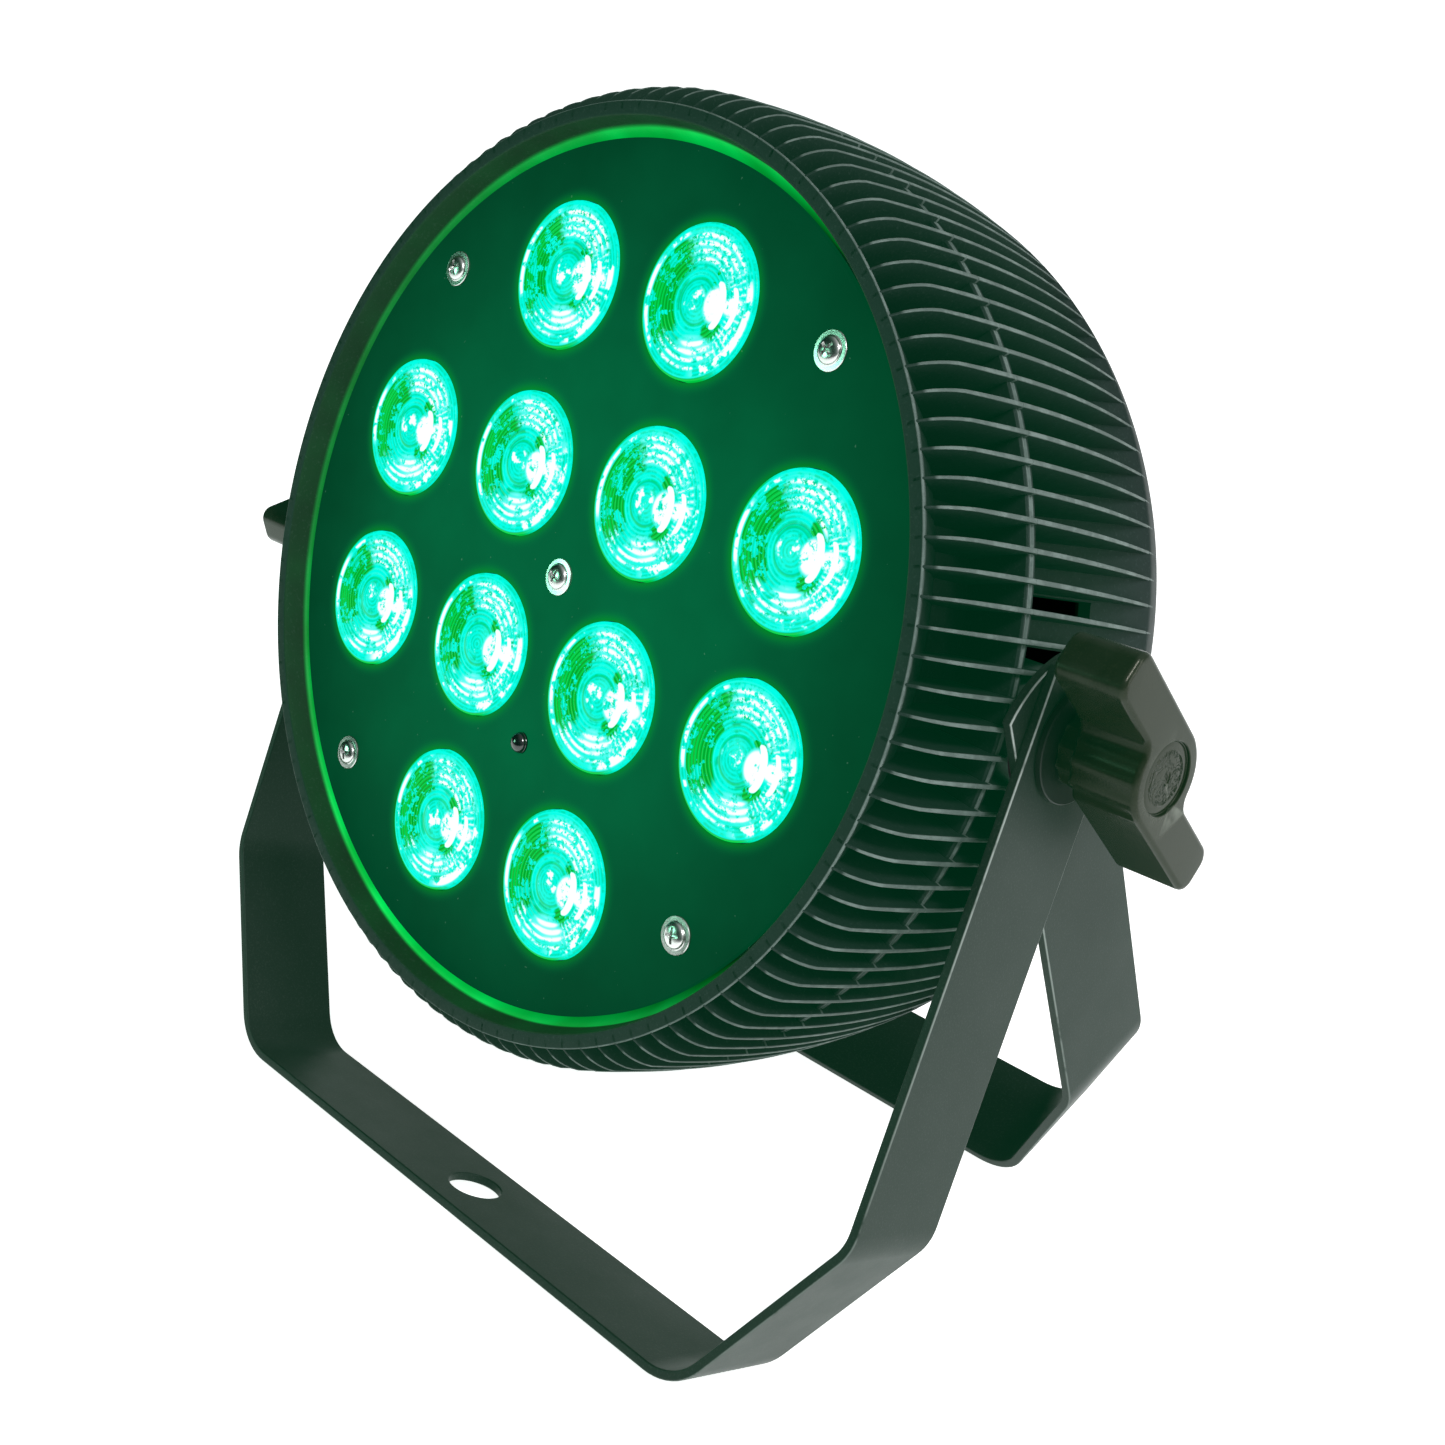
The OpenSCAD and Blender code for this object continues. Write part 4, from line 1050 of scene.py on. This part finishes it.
def plate_material():
    """Black paint in the light of the lenses: a wash over the middle and a halo round each lens."""
    m = Paint("face_plate_paint")
    u, v = m.node("ShaderNodeSeparateXYZ", Vector=m.uv("plate")).outputs[:2]
    du, dv = (m.minus(m.math("FRACT", c), 0.5) for c in (u, v))
    near = m.length(du, dv)
    far_u, far_v = m.math("ABSOLUTE", u), m.math("ABSOLUTE", v)
    corner = m.times(m.math("GREATER_THAN", far_u, 1.0), m.math("GREATER_THAN", far_v, 1.0))
    outside = m.math("GREATER_THAN", m.most(far_u, far_v), 2.0)
    halo = m.times(m.math("POWER", m.step(near, 0.49, 0.378), 2.6), m.minus(1.0, m.most(corner, outside)))
    cloud = m.noise(40, 3, 0.6)
    wash = m.times(m.fit(m.step(m.length(u, v), 2.5, 0.9), 0.55, 0.45), m.fit(cloud, 0.5, 0.75))
    color = m.ramp(cloud, [(0.3, (0.0002, 0.0022, 0.0015)), (0.7, (0.0006, 0.0040, 0.0028))])
    dust = m.math("GREATER_THAN", m.noise(900, 1), 0.80)
    color = m.mix(m.times(dust, 0.15), color, (0.3, 0.5, 0.4))
    grain = m.noise(2500, 2)
    return m.finish(color, m.fit(cloud, 0.15, 0.55), specular=0.015, normal=m.bump(grain, 0.3, 0.03 * MM),
                    emission_color=m.mix(halo, (0.0, 1.0, 0.34), (0.0, 1.0, 0.08)),
                    emission_strength=m.plus(m.times(wash, 0.118), m.times(halo, 0.12)))


def lens_material():
    """A lit lens: cyan with deep green patches and white sparks, laid out round the disc."""
    m = Paint("lit_lens")
    u, down = m.node("ShaderNodeSeparateXYZ", Vector=m.uv("disc")).outputs[:2]
    v = m.times(down, -1.0)
    rho, angle = m.length(u, v), m.math("ARCTAN2", v, u)
    blot, fine = m.noise(330, 3, 0.6), m.noise(1100, 3, 0.65)
    ring, thin_ring, spokes = (m.fit(m.math("SINE", m.times(value, turns)), 0.5, 0.5)
                               for value, turns in ((rho, 62.0), (rho, 110.0), (angle, 58.0)))
    times, most, fit = m.times, m.most, m.fit

    def blob(cx, cy, rx, ry, soft=0.5):
        d = m.length(m.math("DIVIDE", m.minus(u, cx), rx), m.math("DIVIDE", m.minus(v, cy), ry))
        return m.step(d, 1 + soft, 1 - soft)

    def arc_line(cx, inner_cx, rx, inner_rx, ry):
        """What an upright oval leaves of another."""
        left_over = m.minus(blob(cx, 0.0, rx, ry, 0.12), blob(inner_cx, 0.0, inner_rx, ry, 0.12))
        return m.step(left_over, 0.2, 0.8)

    def band(low, high, soft=0.02):
        return times(m.step(rho, low - soft, low + soft), m.step(rho, high + soft, high - soft))

    def sector(middle, half, soft=0.2):
        edge = cos(radians(half))
        return m.step(m.math("COSINE", m.minus(angle, radians(middle))), edge - soft, edge + soft)

    def blots(low, high):
        return m.step(blot, low, high)

    grit = m.plus(times(blot, 0.6), times(fine, 0.4))
    left = times(sector(172, 62, 0.35), band(0.42, 0.86, 0.07))
    arms = times(sector(0, 62, 0.15), m.minus(1.0, sector(0, 26, 0.08)), band(0.34, 0.60, 0.06))
    green = times(most(left, arms), fit(ring, 0.45, 0.80), m.step(grit, 0.42, 0.52))
    core = times(band(0.0, 0.26, 0.03), blots(0.48, 0.62), 0.6)
    rim = times(band(0.965, 1.2, 0.012), sector(215, 85, 0.2))
    patches = times(band(0.3, 0.9, 0.05), m.step(m.noise(170, 2, 0.5), 0.54, 0.62), ring, 0.7)
    green = most(m.step(green, 0.2, 0.7), core, rim, patches, times(band(0.27, 0.31, 0.015), 0.6))

    spark = m.step(fine, 0.40, 0.52)
    shape = m.step(grit, 0.36, 0.50)
    white = most(
        times(blob(0.30, 0.0, 0.16, 0.22, 0.3), shape),
        times(blob(0.62, 0.02, 0.20, 0.12, 0.4), shape),
        arc_line(0.34, 0.22, 0.15, 0.15, 0.30),
        arc_line(0.60, 0.50, 0.12, 0.13, 0.26),
        times(blob(0.16, -0.58, 0.32, 0.15), shape, fit(ring, 0.5, 0.5)),
        times(blob(-0.12, -0.72, 0.26, 0.12, 0.4), shape, ring),
        times(band(0.84, 0.95, 0.03), sector(-25, 50), blots(0.44, 0.54)),
        times(band(0.60, 0.88, 0.04), sector(-75, 60), spark, blots(0.42, 0.56), ring),
        times(band(0.885, 0.945, 0.015), sector(178, 26, 0.08), blots(0.36, 0.46)),
        times(band(0.885, 0.935, 0.012), sector(178, 62, 0.1), blots(0.50, 0.60), 0.8),
        times(band(0.50, 0.90, 0.05), sector(72, 42), spark, shape, fit(ring, 0.6, 0.4)),
        times(blob(-0.06, 0.02, 0.20, 0.17, 0.3), blots(0.50, 0.62)),
        times(band(0.55, 0.85, 0.04), sector(-10, 50), spokes, spark, 0.7))
    dim = times(thin_ring, m.step(grit, 0.58, 0.40), 0.6)
    cyan = m.mix(dim, (0.0, 1.0, 0.80), (0.0, 0.58, 0.20))
    deep = m.mix(thin_ring, (0.0, 0.36, 0.018), (0.0, 0.66, 0.075))
    light = m.mix(m.step(white, 0.05, 0.45), m.mix(green, cyan, deep), (0.10, 1.0, 0.90))
    light = m.mix(m.step(white, 0.40, 0.85), light, (1.0, 1.0, 1.0))
    return m.finish((0.0, 0.01, 0.006), 0.2, specular=0.06, normal=m.bump(times(ring, fine), 0.25, 0.1 * MM),
                    emission_color=light, emission_strength=1.0)


def bracket_material():
    m = Paint("bracket_powder_coat")
    grit = m.noise(2400, 2, 0.6)
    cloud = m.noise(22, 3, 0.6)
    color = m.ramp(cloud, [(0.3, (0.0090, 0.0115, 0.0110)), (0.7, (0.0135, 0.0160, 0.0155))])
    color = m.mix(m.times(m.step(grit, 0.52, 0.68), 0.35), color, (0.040, 0.044, 0.042))
    # Painted highlight: the rim marks lighten the rounded edges, fully on the arcs at the arm ends and faintly
    # elsewhere, broken up by noise.
    edge_wear_and_highlight = m.times(m.attribute("rim"), m.step(m.noise(150, 3, 0.6), 0.25, 0.5))
    rough = m.fit(m.noise(90, 3, 0.6), 0.14, 0.40)
    return m.finish(m.mix(edge_wear_and_highlight, color, (0.34, 0.38, 0.36)), rough, specular=0.18,
                    specular_tint=COAT_TINT, normal=m.bump(grit, 0.45, 0.04 * MM), cast=0.85)


def knob_material():
    """Ribbed nylon with a leaf-like relief on its cap."""
    m = Paint("knob_nylon")
    grit = m.noise(2600, 2, 0.6)
    u, v = m.node("ShaderNodeSeparateXYZ", Vector=m.uv("cap")).outputs[:2]
    leaves = m.step(m.noise(420, 4, 0.6, 2.5), 0.44, 0.52)
    relief = m.times(leaves, m.step(m.length(u, v), 0.78, 0.62))
    cloud = m.noise(60, 3, 0.6)
    color = m.ramp(cloud, [(0.3, (0.0050, 0.0042, 0.0018)), (0.7, (0.0085, 0.0072, 0.0036))])
    color = m.mix(m.times(m.step(grit, 0.55, 0.70), 0.3), color, (0.024, 0.021, 0.012))
    edge_wear_and_highlight = m.times(m.sharpness(0.52, 0.60), m.step(m.noise(140, 3, 0.6), 0.3, 0.6), 0.6)
    return m.finish(m.mix(edge_wear_and_highlight, color, (0.14, 0.15, 0.13)), m.fit(m.noise(240, 3, 0.6), 0.12, 0.17),
                    specular=0.16, specular_tint=(1.0, 0.97, 0.84),
                    normal=m.bump(m.plus(m.times(grit, 0.05), relief), 0.7, 0.45 * MM), cast=0.8)


def panel_material():
    """Textured baked paint: a fine orange-peel bump under cloudy colour and roughness."""
    m = Paint("panel_paint")
    color = m.ramp(m.noise(45, 4, 0.6), [(0.3, (0.008, 0.010, 0.010)), (0.72, (0.014, 0.016, 0.016))])
    peel = m.noise(1 / (0.3 * MM), 2, 0.5)
    height = m.fit(m.noise(2600, 1), 0.35, peel)
    roughness = m.fit(m.noise(320, 3, 0.6), 0.16, 0.42)
    return m.finish(color, roughness, specular=0.35, normal=m.bump(height, 0.5, 0.02 * MM))


def glass(name, color):
    m = Paint(name)
    smear = m.noise(220, 3, 0.6)
    return m.finish(m.tone(smear, color, 0.7), m.fit(smear, 0.12, 0.08), specular=0.6, coat_weight=0.6)


def glowing(name, color, strength):
    m = Paint(name)
    tone = m.tone(m.noise(900, 2), color, 0.7)
    return m.finish(tone, 0.4, emission_color=tone, emission_strength=strength)


HOUSING = housing_material()
PLATE = plate_material()
LENS = lens_material()
NICKEL = metal("bright_nickel", (0.80, 0.82, 0.80), 0.22, dark=0.75)
DARK_LENS = glass("ir_window", (0.004, 0.012, 0.010))
BRACKET = bracket_material()
KNOB = knob_material()
ZINC = metal("zinc_plated_steel", (0.34, 0.35, 0.33), 0.36)
BLACK_STEEL = plastic("black_oxide_steel", (0.006, 0.007, 0.007), 0.42, specular=0.2, cast=0.7)
BLACK = plastic("moulded_black_plastic", (0.014, 0.015, 0.015), 0.45)
SOCKET = plastic("socket_black_plastic", (0.012, 0.012, 0.013), 0.38, spread=0.25)
BUTTON = plastic("button_plastic", (0.55, 0.56, 0.54), 0.35, spread=0.08)
DISPLAY = glass("display_glass", (0.006, 0.010, 0.018))
DIGITS = glowing("display_digits", (0.12, 0.35, 1.0), 2.0)
PANEL = panel_material()
ALUMINIUM = metal("raw_aluminium", (0.72, 0.73, 0.72), 0.38, 0.2)
BRASS = metal("brass", (0.70, 0.50, 0.20), 0.3)
WHITE_BOARD = plastic("white_board", (0.70, 0.72, 0.70), 0.4, spread=0.08)
GREEN_BOARD = plastic("green_board", (0.02, 0.12, 0.045), 0.35, spread=0.25)
EMITTER = glowing("led_emitter", (0.05, 1.0, 0.30), 1.5)
RUBBER = plastic("friction_rubber", (0.02, 0.02, 0.02), 0.75, spread=0.25)
FUSE = glass("fuse_glass", (0.5, 0.5, 0.46))


# ---------- the light ----------

add_camera()
add_world()
area_light("key", (0.70, -0.10, 0.85), (0, 0, 0.12), (0.25, 0.25), 6.0)
area_light("side", (0.80, 0.30, 0.20), (0, 0, 0.10), (0.12, 0.5), 1.2)
area_light("front", (-0.62, -0.72, 0.42), (0, 0, 0.14), (0.25, 0.25), 1.6, (0.35, 1.0, 0.65))
add_floor()

front_shell()
rear_shell()
face_plate()
lenses()
face_screws()
ir_receiver()
bracket("yoke_front_bent", Strip(105, 97, 78, 140), FRONT_BRACKET, "yoke_front", "yoke_front")
bracket("yoke_rear_bent", Strip(102.95, 85.5, 81, 124.697), REAR_BRACKET, "yoke_rear", "yoke_rear")
knob(1, "right", 33)
knob(-1, "left", -88)
for i, name in enumerate(BUTTONS):
    button(i, name)
display()
dmx_socket(-1, "dmx_in_socket", "dmx_in")
dmx_socket(1, "dmx_out_socket", "dmx_out")
latch()
small_screws()

keep(["back_panel"], PANEL, 0.12)
keep(["lens_holders", "fan_frame", "fan_rotor", "display_module"], BLACK, 0.2)
keep(["power_inlet", "fuse_drawer"], SOCKET, 0.25)
keep(["heatsink"], ALUMINIUM, 0.1)
keep(["face_standoffs", "power_board_posts", "pivot_inserts"], BRASS, 0.15)
keep(["led_board"], WHITE_BOARD, 0.1)
keep(["power_board", "control_board"], GREEN_BOARD, 0.15)
keep(["led_emitters"], EMITTER)
keep(["fan_screws", "shell_screws", "board_screws", "heatsink_screws"], NICKEL)
keep(["safety_eye"], ZINC, 0.2)
keep(["friction_washers"], RUBBER, 0.15)
keep(["fuse"], FUSE, 0.2)
